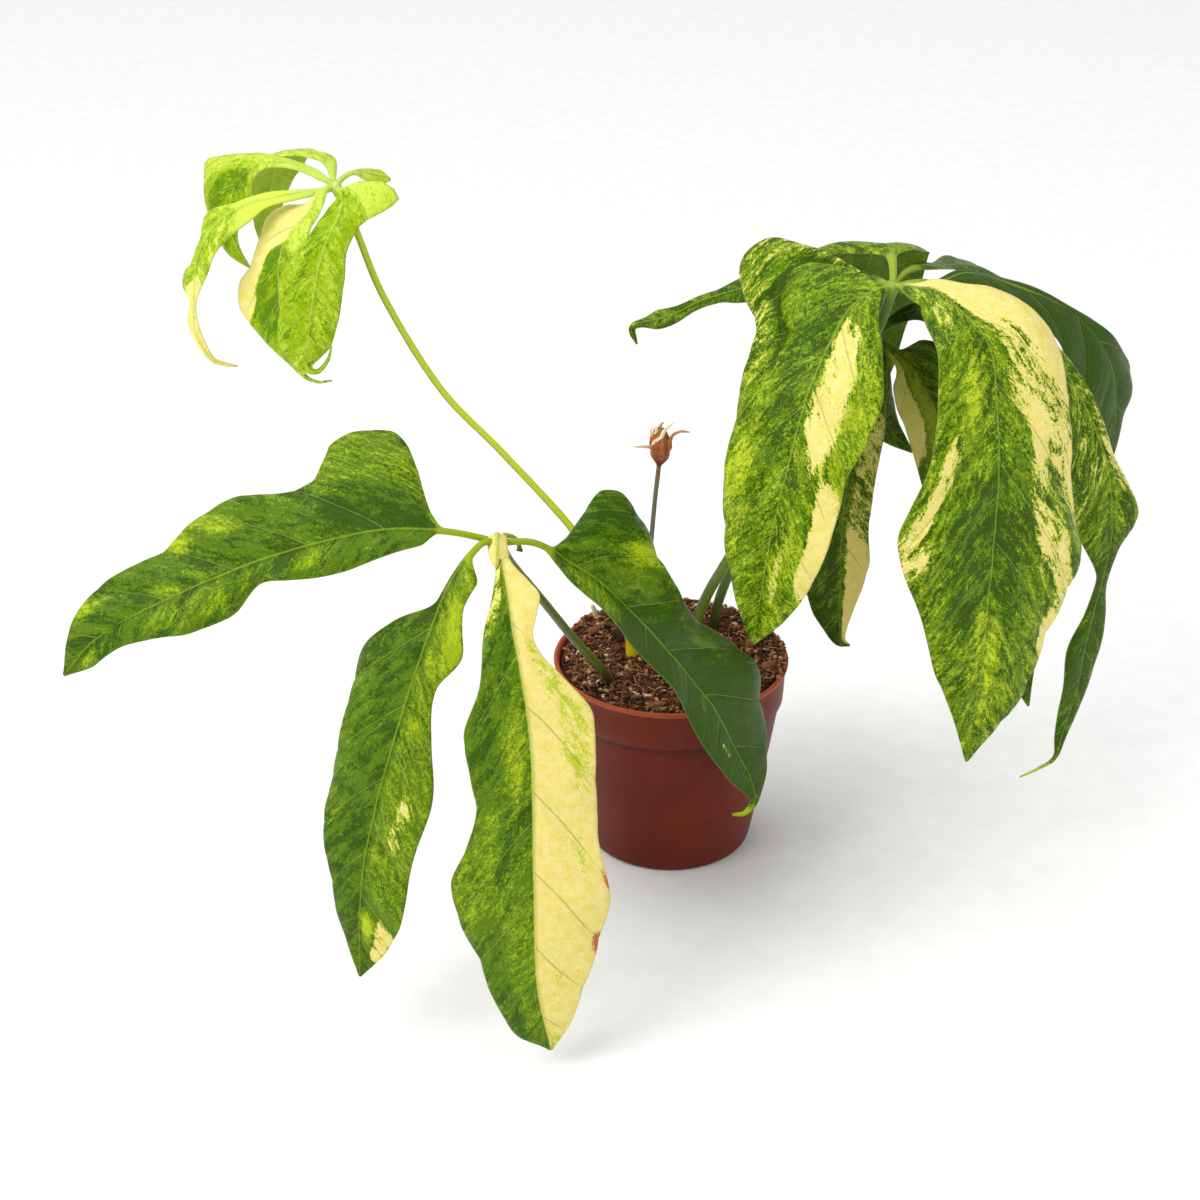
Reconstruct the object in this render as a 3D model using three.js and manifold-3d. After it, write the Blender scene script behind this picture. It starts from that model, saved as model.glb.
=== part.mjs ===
// A potted variegated Anthurium clavigerum: four long-stalked compound leaves and one
// withered bud, rising from the soil of a 12 cm plastic nursery pot.
// Millimetres, +Z up. The origin is the middle of the pot's underside. +Y points away from
// the side with the low front leaf, and +X points to the side with the large crown of leaves.

import * as THREE from 'three';
import { mergeVertices } from 'three/addons/utils/BufferGeometryUtils.js';
import Module from 'manifold-3d';

const wasm = await Module();
wasm.setup();

// Driving dimensions of the pot
const POT_HEIGHT = 107;
const POT_RIM_RADIUS = 60;
const POT_BASE_RADIUS = 43;
const POT_WALL = 1.6;
const COLLAR_HEIGHT = 22;
const COLLAR_STEP = 1.8;
const POT_SIDES = 40;
const DRAIN_HOLES = 6;
const DRAIN_HOLE_RADIUS = 4;
const DRAIN_CIRCLE_RADIUS = 29;

// Driving dimensions of the soil
const FIT_GAP = 0.3;
const SOIL_EDGE_Z = 102;
const SOIL_BACK_RISE = 5;
const SOIL_RIGHT_RISE = 3;
const SOIL_HEAP = 4;
const SOIL_SIDES = 36;
const SOIL_RINGS = [0.97, 0.88, 0.74, 0.58, 0.4, 0.2];

// Driving dimensions of the stalks, hubs and blades
const STEM_SIDES = 8;
const STEM_STEPS = 16;
const BLADE_THICKNESS = 0.8;
const RIB_RIDGE = 0.9;
const STALKLET_THICKNESS = 2.4;
const ROW_LENGTH = 8;
const MOST_ROWS = 28;
const FEWEST_ROWS = 17;
const BASE_CROWDING = 1.2;
const BLADE_COLUMNS = [-1, -0.5, 0, 0.5, 1];

// The top of each leaf stalk, where its leaflets meet
const YOUNG_HUB = [-164, 15, 356];
const FRONT_HUB = [-82, -130, 238];
const CROWN_HUB = [104, 0, 311];
const LOWER_HUB = [105, 55, 263];

// Leaf stalks and the bud's stalk: the path from 28 mm under the soil up to the hub, the
// radius at equal steps along it, and the radius of the hub's knob
const STEMS = {
  young_leaf_petiole: {
    path: [[-18, 6, 75], [-20, 4, 103], [-22, 3, 119], [-33.5, 1, 147], [-51.7, 0, 181],
      [-86, 4, 221], [-116.2, 8, 254], [-142.5, 12, 300], [-155.5, 14, 336], YOUNG_HUB],
    radii: [3.9, 3.2, 2, 1.8, 1.7, 1.7, 1.7, 1.7],
    knob: 4,
    color: 0x9fb53a,
  },
  front_leaf_petiole: {
    path: [[-28, -12, 75], [-32, -21, 103], [-50, -50, 144], [-66, -82, 185],
      [-78, -112, 218.5], FRONT_HUB],
    radii: [2.9, 2.4, 2.2, 2.1, 2.1, 2.2],
    knob: 4.2,
    color: 0x4d6b2a,
  },
  crown_leaf_petiole: {
    path: [[10, 22, 75], [12, 22, 103], [17, 20, 126], [27, 15, 151], [50, 10, 196],
      [78, 6, 246], [97, 3, 284], CROWN_HUB],
    radii: [3.2, 2.8, 2.6, 2.5, 2.5, 2.6],
    knob: 4.6,
    color: 0x6f9236,
  },
  lower_leaf_petiole: {
    path: [[23, 30, 75], [23, 29, 103], [28, 29, 131], [46, 35, 172], [70, 43, 212],
      [93, 51, 246], LOWER_HUB],
    radii: [2.9, 2.6, 2.4, 2.3, 2.3],
    knob: 4.5,
    color: 0x4f7030,
  },
  bud_stalk: {
    path: [[-14, 13, 75], [-14, 12, 103], [-12, 10, 150], [-9.5, 7, 190], [-7.5, 5, 214]],
    radii: [1.8, 1.4, 1.3, 1.2, 1.2],
    knob: 0,
    color: 0x6d6a45,
  },
};

// Leaflets. rib is the midrib's path from the hub to the tip. faces are the directions that
// the upper side looks to, at equal steps along the rib. left and right are the half widths
// at a share of the rib's length, as seen on the upper side with the tip down. fold lifts
// both halves into a shallow V, droop bends their margins down, and wave is the height,
// number and phase of the ripples along the margins. fewest is the least number of rows.
const LEAFLETS = {
  young_leaflet_1: {
    rib: [YOUNG_HUB, [-160, 9, 353], [-161, 1, 347], [-165, -6, 340], [-170, -13, 328],
      [-174, -20, 309], [-177, -25, 287], [-177, -26, 279], [-172, -27, 278],
      [-167, -27, 284], [-165, -27, 291]],
    faces: [[-0.4, -0.7, 0.75], [0.1, -0.9, 0.4], [0, -0.95, 0.2], [0, -0.95, 0.2]],
    left: [[0, 1.4], [0.05, 5], [0.1, 7.5], [0.2, 8.5], [0.28, 9.5], [0.36, 13], [0.46, 17.5],
      [0.6, 15], [0.7, 15], [0.77, 10], [0.83, 1.6], [1, 0.4]],
    right: [[0, 1.4], [0.01, 8], [0.022, 17], [0.04, 23.5], [0.058, 27], [0.075, 23.5],
      [0.1, 17], [0.125, 12.5], [0.16, 10.5], [0.25, 10.5], [0.4, 13], [0.55, 13.5], [0.7, 11],
      [0.78, 5], [0.84, 1.5], [1, 0.4]],
    fold: 0.12, droop: 0.25, wave: [1, 3, 0.5],
    color: 0x8ab51d,
    fewest: 26,
  },
  young_leaflet_2: {
    rib: [YOUNG_HUB, [-170, 10, 355], [-176, 5, 347], [-185, 0, 338], [-190, -5, 326],
      [-191, -8, 306], [-189, -11, 288], [-183, -14, 273], [-175, -16, 268],
      [-167, -17, 269]],
    faces: [[-0.4, -0.5, 0.8], [-0.4, -0.85, 0.3], [-0.3, -0.9, 0.2], [0, -0.95, 0.2]],
    left: [[0, 1.4], [0.05, 1.8], [0.1, 5], [0.16, 14], [0.24, 18.5], [0.31, 15], [0.4, 16.5],
      [0.5, 24], [0.57, 24], [0.65, 16], [0.75, 7], [0.83, 2], [0.88, 1], [1, 0.4]],
    right: [[0, 1.4], [0.06, 4.5], [0.16, 6.5], [0.25, 11], [0.45, 12], [0.65, 10.5], [0.78, 7],
      [0.85, 2.5], [0.9, 1], [1, 0.4]],
    fold: 0.12, droop: 0.25, wave: [1, 3, 1.6],
    color: 0x9bbd2a,
  },
  young_leaflet_3: {
    rib: [YOUNG_HUB, [-171, 14, 354], [-182, 12, 353], [-196, 8, 352], [-208, 4, 349],
      [-219, 0, 343], [-227, -3, 332], [-231, -5, 318], [-233, -6, 300], [-233, -6, 289],
      [-227, -6, 276], [-221, -6, 273], [-214, -6, 272]],
    faces: [[-0.1, -0.4, 0.9], [-0.2, -0.5, 0.8], [-0.6, -0.7, 0.4], [-0.7, -0.7, 0.1],
      [-0.3, -0.9, 0.2]],
    left: [[0, 1.3], [0.06, 2.2], [0.2, 5], [0.3, 4.5], [0.4, 10], [0.48, 3.5], [0.55, 4],
      [0.6, 9], [0.65, 11], [0.7, 4.5], [0.75, 6], [0.8, 3.5], [0.9, 1.4], [1, 0.4]],
    right: [[0, 1.3], [0.06, 2.8], [0.2, 5], [0.3, 9.5], [0.42, 10.5], [0.55, 8], [0.65, 3.4],
      [0.7, 1.6], [0.78, 4], [0.88, 2.5], [0.95, 1.5], [1, 0.4]],
    fold: 0.15, droop: 0.2, wave: [0.8, 4, 0],
    color: 0xb5c93c,
  },
  young_leaflet_4: {
    rib: [YOUNG_HUB, [-175, 22, 361], [-187, 27, 363.5], [-200, 31, 363], [-209, 33, 357],
      [-216, 35, 347], [-219, 35, 337], [-219, 34, 328], [-216, 32, 319], [-210, 31, 309]],
    faces: [[-0.1, -0.3, 0.95], [-0.1, -0.4, 0.9], [-0.4, -0.8, 0.4], [-0.3, -0.95, 0.1],
      [-0.1, -0.95, 0]],
    left: [[0, 1.2], [0.06, 2], [0.2, 3], [0.34, 4.5], [0.42, 8], [0.48, 12.5], [0.54, 18.5],
      [0.58, 22.5], [0.63, 18], [0.75, 11.5], [0.9, 6], [1, 0.4]],
    right: [[0, 1.3], [0.06, 2.8], [0.3, 3.2], [0.44, 5], [0.58, 11], [0.7, 10], [0.82, 3],
      [0.92, 1], [1, 0.4]],
    fold: 0.1, droop: 0.2, wave: [0.8, 3, 2],
    color: 0x8fbb20,
  },
  young_leaflet_5: {
    rib: [YOUNG_HUB, [-169.5, 30, 364.5], [-182, 43, 365], [-192, 53, 361], [-199, 59, 350],
      [-203, 63, 337], [-207, 66, 322], [-209, 67, 308]],
    faces: [[0, -0.2, 1], [-0.2, 0.4, 0.9], [-0.5, 0.7, 0.4], [-0.5, 0.8, 0.1]],
    left: [[0, 1.3], [0.08, 3.5], [0.25, 9], [0.5, 13], [0.75, 9], [0.9, 4], [1, 0.5]],
    right: [[0, 1.2], [0.08, 1.8], [0.18, 4.5], [0.3, 10], [0.5, 14], [0.75, 10], [0.9, 5],
      [1, 0.5]],
    fold: 0.1, droop: 0.25, wave: [1, 3, 1],
    color: 0x8dbb2c,
  },
  young_leaflet_6: {
    rib: [YOUNG_HUB, [-160, 20, 359], [-155, 24, 360], [-147, 28, 357], [-139, 32, 354]],
    faces: [[0.1, -0.3, 0.95], [0.2, -0.4, 0.9]],
    left: [[0, 1.2], [0.3, 1.6], [0.45, 4], [0.65, 4.6], [0.85, 3.4], [1, 1]],
    right: [[0, 1.2], [0.3, 1.6], [0.45, 4], [0.7, 7], [0.88, 7], [1, 1]],
    fold: 0.1, droop: 0.2, wave: [0.4, 2, 1],
    color: 0xa5c431,
  },
  front_leaflet_1: {
    rib: [FRONT_HUB, [-107, -133, 245], [-137, -137, 247], [-184, -143, 237],
      [-233, -148, 217], [-262, -150, 200], [-279, -150, 181]],
    faces: [[0, -0.5, 0.8], [0, -0.8, 0.55], [-0.1, -0.8, 0.5]],
    left: [[0, 1.5], [0.1, 1.5], [0.125, 8], [0.145, 24], [0.17, 45], [0.2, 51], [0.24, 50.5],
      [0.3, 45], [0.35, 29], [0.41, 27], [0.5, 30.5], [0.6, 27], [0.7, 20.5], [0.8, 20],
      [0.9, 14.5], [1, 0.6]],
    right: [[0, 1.5], [0.11, 1.5], [0.15, 8], [0.25, 13], [0.38, 15], [0.44, 13], [0.5, 10],
      [0.6, 19], [0.68, 18.5], [0.78, 12.5], [0.85, 9], [0.92, 8.5], [1, 0.6]],
    fold: 0.1, droop: 0.16, wave: [2, 4, 0.4],
    color: 0x3f6d22,
  },
  front_leaflet_2: {
    rib: [FRONT_HUB, [-91, -138, 240], [-106, -146, 220], [-124, -160, 174], [-140, -172, 121],
      [-147, -180, 85], [-149, -186, 40]],
    faces: [[-0.2, -0.5, 0.8], [-0.35, -0.85, 0.35], [-0.3, -0.9, 0.2]],
    left: [[0, 1.5], [0.09, 1.5], [0.17, 2.5], [0.25, 19], [0.35, 31], [0.5, 27], [0.66, 25.5],
      [0.76, 17.5], [0.86, 13], [0.93, 7], [1, 0.6]],
    right: [[0, 1.5], [0.06, 1.8], [0.1, 11], [0.15, 11], [0.2, 14], [0.26, 18], [0.34, 11.5],
      [0.45, 18], [0.6, 25], [0.75, 22], [0.86, 20], [0.93, 13.5], [1, 0.6]],
    fold: 0.1, droop: 0.16, wave: [1.8, 4, 1.2],
    color: 0x3a6622,
  },
  front_leaflet_3: {
    rib: [FRONT_HUB, [-80, -148, 231], [-75, -166, 209], [-68, -184, 165],
      [-67, -198, 104], [-66, -205, 50], [-60, -206, 13]],
    faces: [[0, -0.5, 0.8], [0, -0.9, 0.4], [0, -0.95, 0.2]],
    left: [[0, 1.6], [0.05, 3], [0.1, 6.5], [0.15, 12], [0.25, 18], [0.36, 29], [0.45, 27],
      [0.5, 25.5], [0.58, 30], [0.65, 37], [0.72, 34.5], [0.8, 26], [0.88, 20], [0.95, 15],
      [1, 0.8]],
    right: [[0, 1.6], [0.04, 5], [0.08, 11], [0.11, 14.5], [0.14, 12], [0.18, 8.5], [0.22, 11],
      [0.27, 19], [0.34, 29], [0.45, 28], [0.55, 29], [0.67, 34], [0.75, 30], [0.85, 23],
      [0.95, 12], [1, 0.8]],
    fold: 0.1, droop: 0.16, wave: [1.6, 4, 2.2],
    color: 0xcfd08c,
  },
  front_leaflet_4: {
    rib: [FRONT_HUB, [-66, -127, 236], [-50, -120, 222], [-28, -110, 198], [11, -87, 137],
      [28, -77, 101], [41, -69, 66], [37, -70, 55], [30, -71, 54]],
    faces: [[0, -0.4, 0.9], [0.4, -0.65, 0.65], [0.5, -0.75, 0.4]],
    left: [[0, 1.5], [0.06, 1.5], [0.1, 5], [0.2, 10], [0.32, 12], [0.42, 11.5], [0.6, 13.5],
      [0.72, 15], [0.82, 12], [0.9, 6], [0.94, 2.5], [1, 0.6]],
    right: [[0, 1.5], [0.08, 1.6], [0.12, 11], [0.16, 30], [0.2, 50], [0.24, 55], [0.29, 51],
      [0.35, 40], [0.41, 31.5], [0.5, 27.5], [0.6, 33], [0.68, 36], [0.74, 34], [0.82, 25],
      [0.89, 13], [0.94, 2.5], [1, 0.6]],
    fold: 0.1, droop: 0.16, wave: [1.8, 4, 0.9],
    color: 0x396a23,
  },
  front_leaflet_5: {
    rib: [FRONT_HUB, [-79, -120, 236.5], [-76, -112, 230.5], [-73, -106, 221.5]],
    faces: [[0, -0.3, 0.95], [0.1, -0.6, 0.8]],
    left: [[0, 1.3], [0.2, 1.6], [0.35, 4], [0.55, 5], [0.75, 3.8], [0.9, 1.8], [1, 0.6]],
    right: [[0, 1.3], [0.2, 1.6], [0.35, 3.6], [0.55, 4.6], [0.75, 3.4], [0.9, 1.6], [1, 0.6]],
    fold: 0.1, droop: 0.2, wave: [0.6, 2, 0.9],
    color: 0x365f20,
  },
  crown_leaflet_1: {
    rib: [CROWN_HUB, [90, -10, 310], [77, -20, 299], [62, -37, 270], [51, -51, 231],
      [43, -60, 190], [38, -64, 149]],
    faces: [[-0.4, -0.68, 0.7], [-0.45, -0.8, 0.5], [-0.4, -0.9, 0.25]],
    left: [[0, 1.8], [0.015, 6], [0.03, 22], [0.05, 44], [0.08, 62], [0.12, 68], [0.16, 62],
      [0.2, 49], [0.25, 39], [0.35, 37], [0.5, 34], [0.65, 31.5], [0.75, 25], [0.85, 16.5],
      [0.93, 10], [1, 0.6]],
    right: [[0, 1.8], [0.04, 6], [0.1, 15], [0.2, 27], [0.32, 35], [0.42, 35], [0.55, 29],
      [0.68, 29], [0.8, 24], [0.9, 16], [1, 0.6]],
    fold: 0.1, droop: 0.16, wave: [1.8, 4, 0],
    color: 0x7fa33a,
  },
  crown_leaflet_2: {
    rib: [CROWN_HUB, [114, -8, 313], [126, -15, 312], [145, -36, 297], [150, -53, 266],
      [151, -65, 222], [149, -76, 161], [144, -84, 94]],
    faces: [[0.1, -0.3, 0.9], [0.4, -0.75, 0.5], [0.3, -0.9, 0.25]],
    left: [[0, 1.8], [0.03, 8], [0.08, 15], [0.14, 22.5], [0.22, 28], [0.32, 29], [0.4, 34],
      [0.5, 46], [0.55, 49.5], [0.61, 46], [0.7, 36], [0.8, 25], [0.9, 12], [1, 0.8]],
    right: [[0, 1.8], [0.03, 7], [0.07, 12], [0.11, 25], [0.16, 34], [0.22, 41], [0.3, 42],
      [0.42, 44], [0.52, 50], [0.6, 54], [0.66, 50], [0.78, 37], [0.9, 22], [1, 0.8]],
    fold: 0.1, droop: 0.16, wave: [2, 4, 2.6],
    color: 0x86a93a,
  },
  crown_leaflet_3: {
    rib: [CROWN_HUB, [123, 8, 310], [152, 15, 298], [182, 20, 275], [205, 18, 244],
      [219, 12, 214], [224, 8, 187], [224, 4, 164], [216, -3, 118], [213, -6, 89],
      [207, -10, 64], [204, -13, 52], [196, -14, 46], [186, -15, 41]],
    faces: [[0.2, -0.2, 0.9], [0.5, -0.6, 0.6], [0.5, -0.8, 0.3], [0.5, -0.8, 0.2],
      [0.4, -0.9, 0.1]],
    left: [[0, 1.3], [0.04, 6], [0.09, 18], [0.2, 25], [0.4, 27], [0.5, 28], [0.55, 25],
      [0.6, 15], [0.65, 4], [0.7, 5], [0.77, 11], [0.85, 8.5], [0.9, 4.5], [0.94, 1.5], [1, 0.4]],
    right: [[0, 1.2], [0.05, 1.4], [0.1, 5], [0.25, 7.5], [0.35, 8], [0.45, 7.5], [0.51, 13],
      [0.55, 18.5], [0.6, 7], [0.65, 5], [0.7, 10], [0.75, 11], [0.85, 7], [0.9, 4],
      [0.94, 1.5], [1, 0.4]],
    fold: 0.12, droop: 0.18, wave: [1.6, 5, 0.7],
    color: 0x6d9438,
  },
  crown_leaflet_4: {
    rib: [CROWN_HUB, [117, 11, 304], [132, 23, 305], [149, 35, 304.5], [186, 52, 287],
      [210, 60, 270], [227, 64, 247], [233, 64, 224], [234, 62, 202], [232, 60, 180]],
    faces: [[0.1, 0.1, 1], [0.4, -0.2, 0.9], [0.7, -0.6, 0.4], [0.7, -0.7, 0.1]],
    left: [[0, 1.2], [0.08, 1.6], [0.16, 6], [0.3, 14], [0.45, 22], [0.6, 28], [0.8, 26],
      [0.9, 17], [1, 0.6]],
    right: [[0, 1.2], [0.08, 1.6], [0.15, 3.5], [0.3, 5], [0.5, 4.5], [0.6, 8], [0.7, 15],
      [0.77, 25], [0.8, 24], [0.85, 11], [0.9, 6], [1, 0.6]],
    fold: 0.1, droop: 0.18, wave: [1.4, 4, 1.3],
    color: 0x2f5a12,
  },
  crown_leaflet_5: {
    rib: [CROWN_HUB, [115, 21, 312], [135, 43, 306], [156, 64, 298], [172, 84, 276],
      [181, 99, 240], [184, 107, 196]],
    faces: [[0, 0, 1], [0.3, 0.2, 0.9], [0.6, 0.6, 0.5], [0.6, 0.8, 0.2]],
    left: [[0, 1.2], [0.08, 1.6], [0.18, 4], [0.33, 8], [0.5, 15], [0.7, 16], [0.85, 10],
      [0.93, 6], [1, 0.6]],
    right: [[0, 1.2], [0.08, 1.6], [0.18, 8], [0.3, 14], [0.45, 20], [0.6, 21], [0.8, 14],
      [0.93, 6], [1, 0.6]],
    fold: 0.1, droop: 0.2, wave: [1.8, 4, 2],
    color: 0x4d7d38,
  },
  crown_leaflet_6: {
    rib: [CROWN_HUB, [105, 14, 318], [104, 34, 320.5], [101, 60, 307], [97, 84, 268],
      [92, 97, 214], [88, 101, 157]],
    faces: [[0, -0.3, 1], [0, 0.3, 0.9], [-0.1, 0.8, 0.5], [-0.1, 0.95, 0.2]],
    left: [[0, 1.6], [0.07, 2.5], [0.13, 16], [0.2, 25], [0.35, 29], [0.55, 28], [0.75, 20],
      [0.9, 9], [1, 0.6]],
    right: [[0, 1.6], [0.07, 2.5], [0.13, 20], [0.2, 36], [0.3, 38], [0.4, 31], [0.55, 28],
      [0.75, 20], [0.9, 9], [1, 0.6]],
    fold: 0.08, droop: 0.2, wave: [1.8, 4, 0.2],
    color: 0x5f9030,
  },
  crown_leaflet_7: {
    rib: [CROWN_HUB, [85, 20, 311], [60, 38, 306], [36, 50, 292], [15, 58, 282],
      [1, 62, 273], [-10, 64, 269], [-19, 66, 266], [-21, 66, 262], [-18, 66, 255]],
    faces: [[-0.1, -0.1, 1], [-0.2, -0.5, 0.8], [-0.2, -0.7, 0.6]],
    left: [[0, 1.6], [0.06, 5], [0.2, 8], [0.35, 10], [0.5, 10], [0.57, 7], [0.64, 3.5],
      [0.72, 3.5], [0.84, 5.5], [0.9, 2], [0.95, 1.4], [1, 0.4]],
    right: [[0, 1.6], [0.06, 6], [0.2, 13], [0.33, 15], [0.45, 11], [0.55, 8], [0.62, 4.5],
      [0.72, 3.8], [0.84, 5.6], [0.9, 2.8], [0.96, 2], [1, 0.4]],
    fold: 0.15, droop: 0.25, wave: [0.8, 3, 1],
    color: 0x4f8038,
  },
  lower_leaflet_1: {
    rib: [LOWER_HUB, [104, 44, 258], [99, 36, 244], [94, 31, 218], [89, 24, 175], [89, 17, 131],
      [90, 12, 111], [95, 12, 106]],
    faces: [[-0.1, -0.5, 0.8], [-0.2, -0.9, 0.3], [-0.2, -0.9, 0.2]],
    left: [[0, 1.5], [0.06, 7], [0.12, 12], [0.3, 19], [0.5, 21.5], [0.7, 22], [0.8, 19],
      [0.88, 15], [0.94, 8], [1, 0.5]],
    right: [[0, 1.5], [0.06, 6], [0.16, 11], [0.3, 14], [0.5, 14], [0.6, 13.5], [0.7, 15],
      [0.78, 12], [0.86, 7.5], [0.94, 3], [1, 0.5]],
    fold: 0.12, droop: 0.2, wave: [1.2, 4, 0.6],
    color: 0x5b7a35,
  },
  lower_leaflet_2: {
    rib: [LOWER_HUB, [113, 49, 257], [123, 45, 250], [134, 40, 232], [141, 34, 212],
      [156, 20, 178], [173, 8, 136], [190, 0, 76]],
    faces: [[0.2, -0.5, 0.8], [0.2, -0.8, 0.5], [0.2, -0.9, 0.25]],
    left: [[0, 1.5], [0.05, 5], [0.1, 15], [0.18, 19], [0.3, 18], [0.5, 20], [0.7, 19],
      [0.88, 9], [1, 0.6]],
    right: [[0, 1.5], [0.04, 5], [0.07, 20], [0.12, 28], [0.2, 28], [0.32, 23], [0.5, 21],
      [0.7, 19], [0.88, 10], [1, 0.6]],
    fold: 0.14, droop: 0.25, wave: [1.5, 4, 1.8],
    color: 0x3f5f2b,
  },
  lower_leaflet_3: {
    rib: [LOWER_HUB, [113, 62, 269], [128, 68, 273], [152, 72, 264], [186, 72, 226],
      [204, 66, 180], [210, 60, 145], [208, 57, 133]],
    faces: [[0, -0.2, 0.95], [0.3, -0.5, 0.8], [0.6, -0.75, 0.3], [0.6, -0.8, 0.1]],
    left: [[0, 1.5], [0.05, 4], [0.2, 11], [0.45, 16], [0.7, 13], [0.88, 7], [1, 0.6]],
    right: [[0, 1.5], [0.05, 4], [0.2, 9], [0.45, 13], [0.7, 11], [0.88, 6], [1, 0.6]],
    fold: 0.14, droop: 0.25, wave: [1.4, 4, 0.2],
    color: 0x3c5c2a,
  },
  lower_leaflet_4: {
    rib: [LOWER_HUB, [106, 66, 254], [107, 76, 236], [110, 82, 216], [118, 86, 199],
      [132, 87, 184]],
    faces: [[0, -0.2, 1], [0, -0.8, 0.5], [0, -0.9, 0.3]],
    left: [[0, 1.3], [0.12, 3], [0.35, 9], [0.6, 12], [0.85, 6], [1, 0.6]],
    right: [[0, 1.3], [0.12, 3], [0.35, 9], [0.6, 10], [0.85, 5], [1, 0.6]],
    fold: 0.12, droop: 0.2, wave: [0.8, 2, 0.2],
    color: 0x55792f,
  },
};

// The withered bud: a dry husk whose bracts stand curled at its top
const BUD_FOOT = [-7.5, 5, 214.3];
const BUD_PROFILE = [[0, 0], [1.6, 0], [3, 3.5], [5, 7.5], [5.4, 11], [4.6, 15], [3.6, 18.5],
  [1.8, 20.5], [0, 21]];
const BUD_SIDES = 14;
const BRACTS = [
  { rib: [[2, 0, 5], [5, 0, 9], [5.8, 0, 14], [8.5, 0.5, 18], [14.5, 0, 19]],
    faces: [[1, 0, 0], [0.5, 0, 1]] },
  { rib: [[-2, -3, 12], [0, -4.2, 17], [2.5, -4, 21], [7, -3, 25]],
    faces: [[0, -1, 0], [0.6, -0.6, 0.6]] },
  { rib: [[-1, 0, 9], [-5, -2, 11.5], [-9, -2, 12.3], [-13.5, -2, 12.2]],
    faces: [[0, -0.4, 1], [0, 0, 1]] },
  { rib: [[-1, -1, 16], [-3.5, -2, 19.5], [-4.5, -3.4, 21.5], [-3, -4.6, 22.5]],
    faces: [[-0.8, -0.5, 0.3], [-0.3, -0.3, 1]] },
];
const BRACT_WIDTHS = [[0, 2.4], [0.5, 1.4], [1, 0.5]];
const BRACT_ROWS = 5;
const BUD_COLOR = 0xa86e4a;

function vector(point) {
  return new THREE.Vector3(...point);
}

function curveThrough(points) {
  return new THREE.CatmullRomCurve3(points.map(vector), false, 'catmullrom', 0.5);
}

// A smooth value at share u from [share, value] pairs, with no overshoot between them
function smoothAt(pairs, u) {
  const last = pairs.length - 1;
  const slopes = pairs.slice(1).map((p, i) => (p[1] - pairs[i][1]) / (p[0] - pairs[i][0]));
  const bend = (i) => {
    if (i === 0 || i === last) return slopes[Math.min(i, last - 1)];
    const before = slopes[i - 1];
    const after = slopes[i];
    return before * after <= 0 ? 0 : (2 * before * after) / (before + after);
  };
  let i = 0;
  while (i < last - 1 && u > pairs[i + 1][0]) i += 1;
  const span = pairs[i + 1][0] - pairs[i][0];
  const t = Math.min(Math.max((u - pairs[i][0]) / span, 0), 1);
  const start = pairs[i][1] * (2 * t ** 3 - 3 * t ** 2 + 1);
  const end = pairs[i + 1][1] * (3 * t ** 2 - 2 * t ** 3);
  return start + end + span * (bend(i) * (t ** 3 - 2 * t ** 2 + t) + bend(i + 1) * (t ** 3 - t ** 2));
}

// The value at share u of a list of numbers or vectors at equal steps
function evenlyAt(list, u) {
  const place = u * (list.length - 1);
  const i = Math.min(Math.floor(place), list.length - 2);
  const share = place - i;
  if (typeof list[0] === 'number') return list[i] * (1 - share) + list[i + 1] * share;
  return vector(list[i]).lerp(vector(list[i + 1]), share);
}

function geometryFrom(points, triangles) {
  const geometry = new THREE.BufferGeometry();
  const coordinates = points.flatMap((p) => [p.x, p.y, p.z]);
  geometry.setAttribute('position', new THREE.Float32BufferAttribute(coordinates, 3));
  geometry.setIndex(triangles.flat());
  return geometry;
}

function solidFrom(geometry) {
  const plain = geometry.clone();
  plain.deleteAttribute('normal');
  plain.deleteAttribute('uv');
  const merged = mergeVertices(plain, 1e-4);
  const vertProperties = new Float32Array(merged.attributes.position.array);
  const triVerts = new Uint32Array(merged.index.array);
  return new wasm.Manifold(new wasm.Mesh({ numProp: 3, vertProperties, triVerts }));
}

function geometryOf(solid) {
  const mesh = solid.getMesh();
  const geometry = new THREE.BufferGeometry();
  geometry.setAttribute('position', new THREE.BufferAttribute(mesh.vertProperties, 3));
  geometry.setIndex(new THREE.BufferAttribute(mesh.triVerts, 1));
  return geometry;
}

// A round stem along a path, with a radius that changes along it and flat ends
function stemGeometry(path, radii, grow = 0) {
  const curve = curveThrough(path);
  const frames = curve.computeFrenetFrames(STEM_STEPS, false);
  const points = [];
  const triangles = [];
  for (let step = 0; step <= STEM_STEPS; step += 1) {
    const u = step / STEM_STEPS;
    const middle = curve.getPointAt(u);
    const radius = evenlyAt(radii, u) + grow;
    for (let side = 0; side < STEM_SIDES; side += 1) {
      const angle = (2 * Math.PI * side) / STEM_SIDES;
      points.push(middle.clone()
        .addScaledVector(frames.normals[step], radius * Math.cos(angle))
        .addScaledVector(frames.binormals[step], radius * Math.sin(angle)));
    }
  }
  const at = (step, side) => step * STEM_SIDES + (side % STEM_SIDES);
  for (let step = 0; step < STEM_STEPS; step += 1) {
    for (let side = 0; side < STEM_SIDES; side += 1) {
      triangles.push([at(step, side), at(step, side + 1), at(step + 1, side + 1)]);
      triangles.push([at(step, side), at(step + 1, side + 1), at(step + 1, side)]);
    }
  }
  for (let side = 1; side < STEM_SIDES - 1; side += 1) {
    triangles.push([at(0, 0), at(0, side + 1), at(0, side)]);
    triangles.push([at(STEM_STEPS, 0), at(STEM_STEPS, side), at(STEM_STEPS, side + 1)]);
  }
  return geometryFrom(points, triangles);
}

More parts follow.
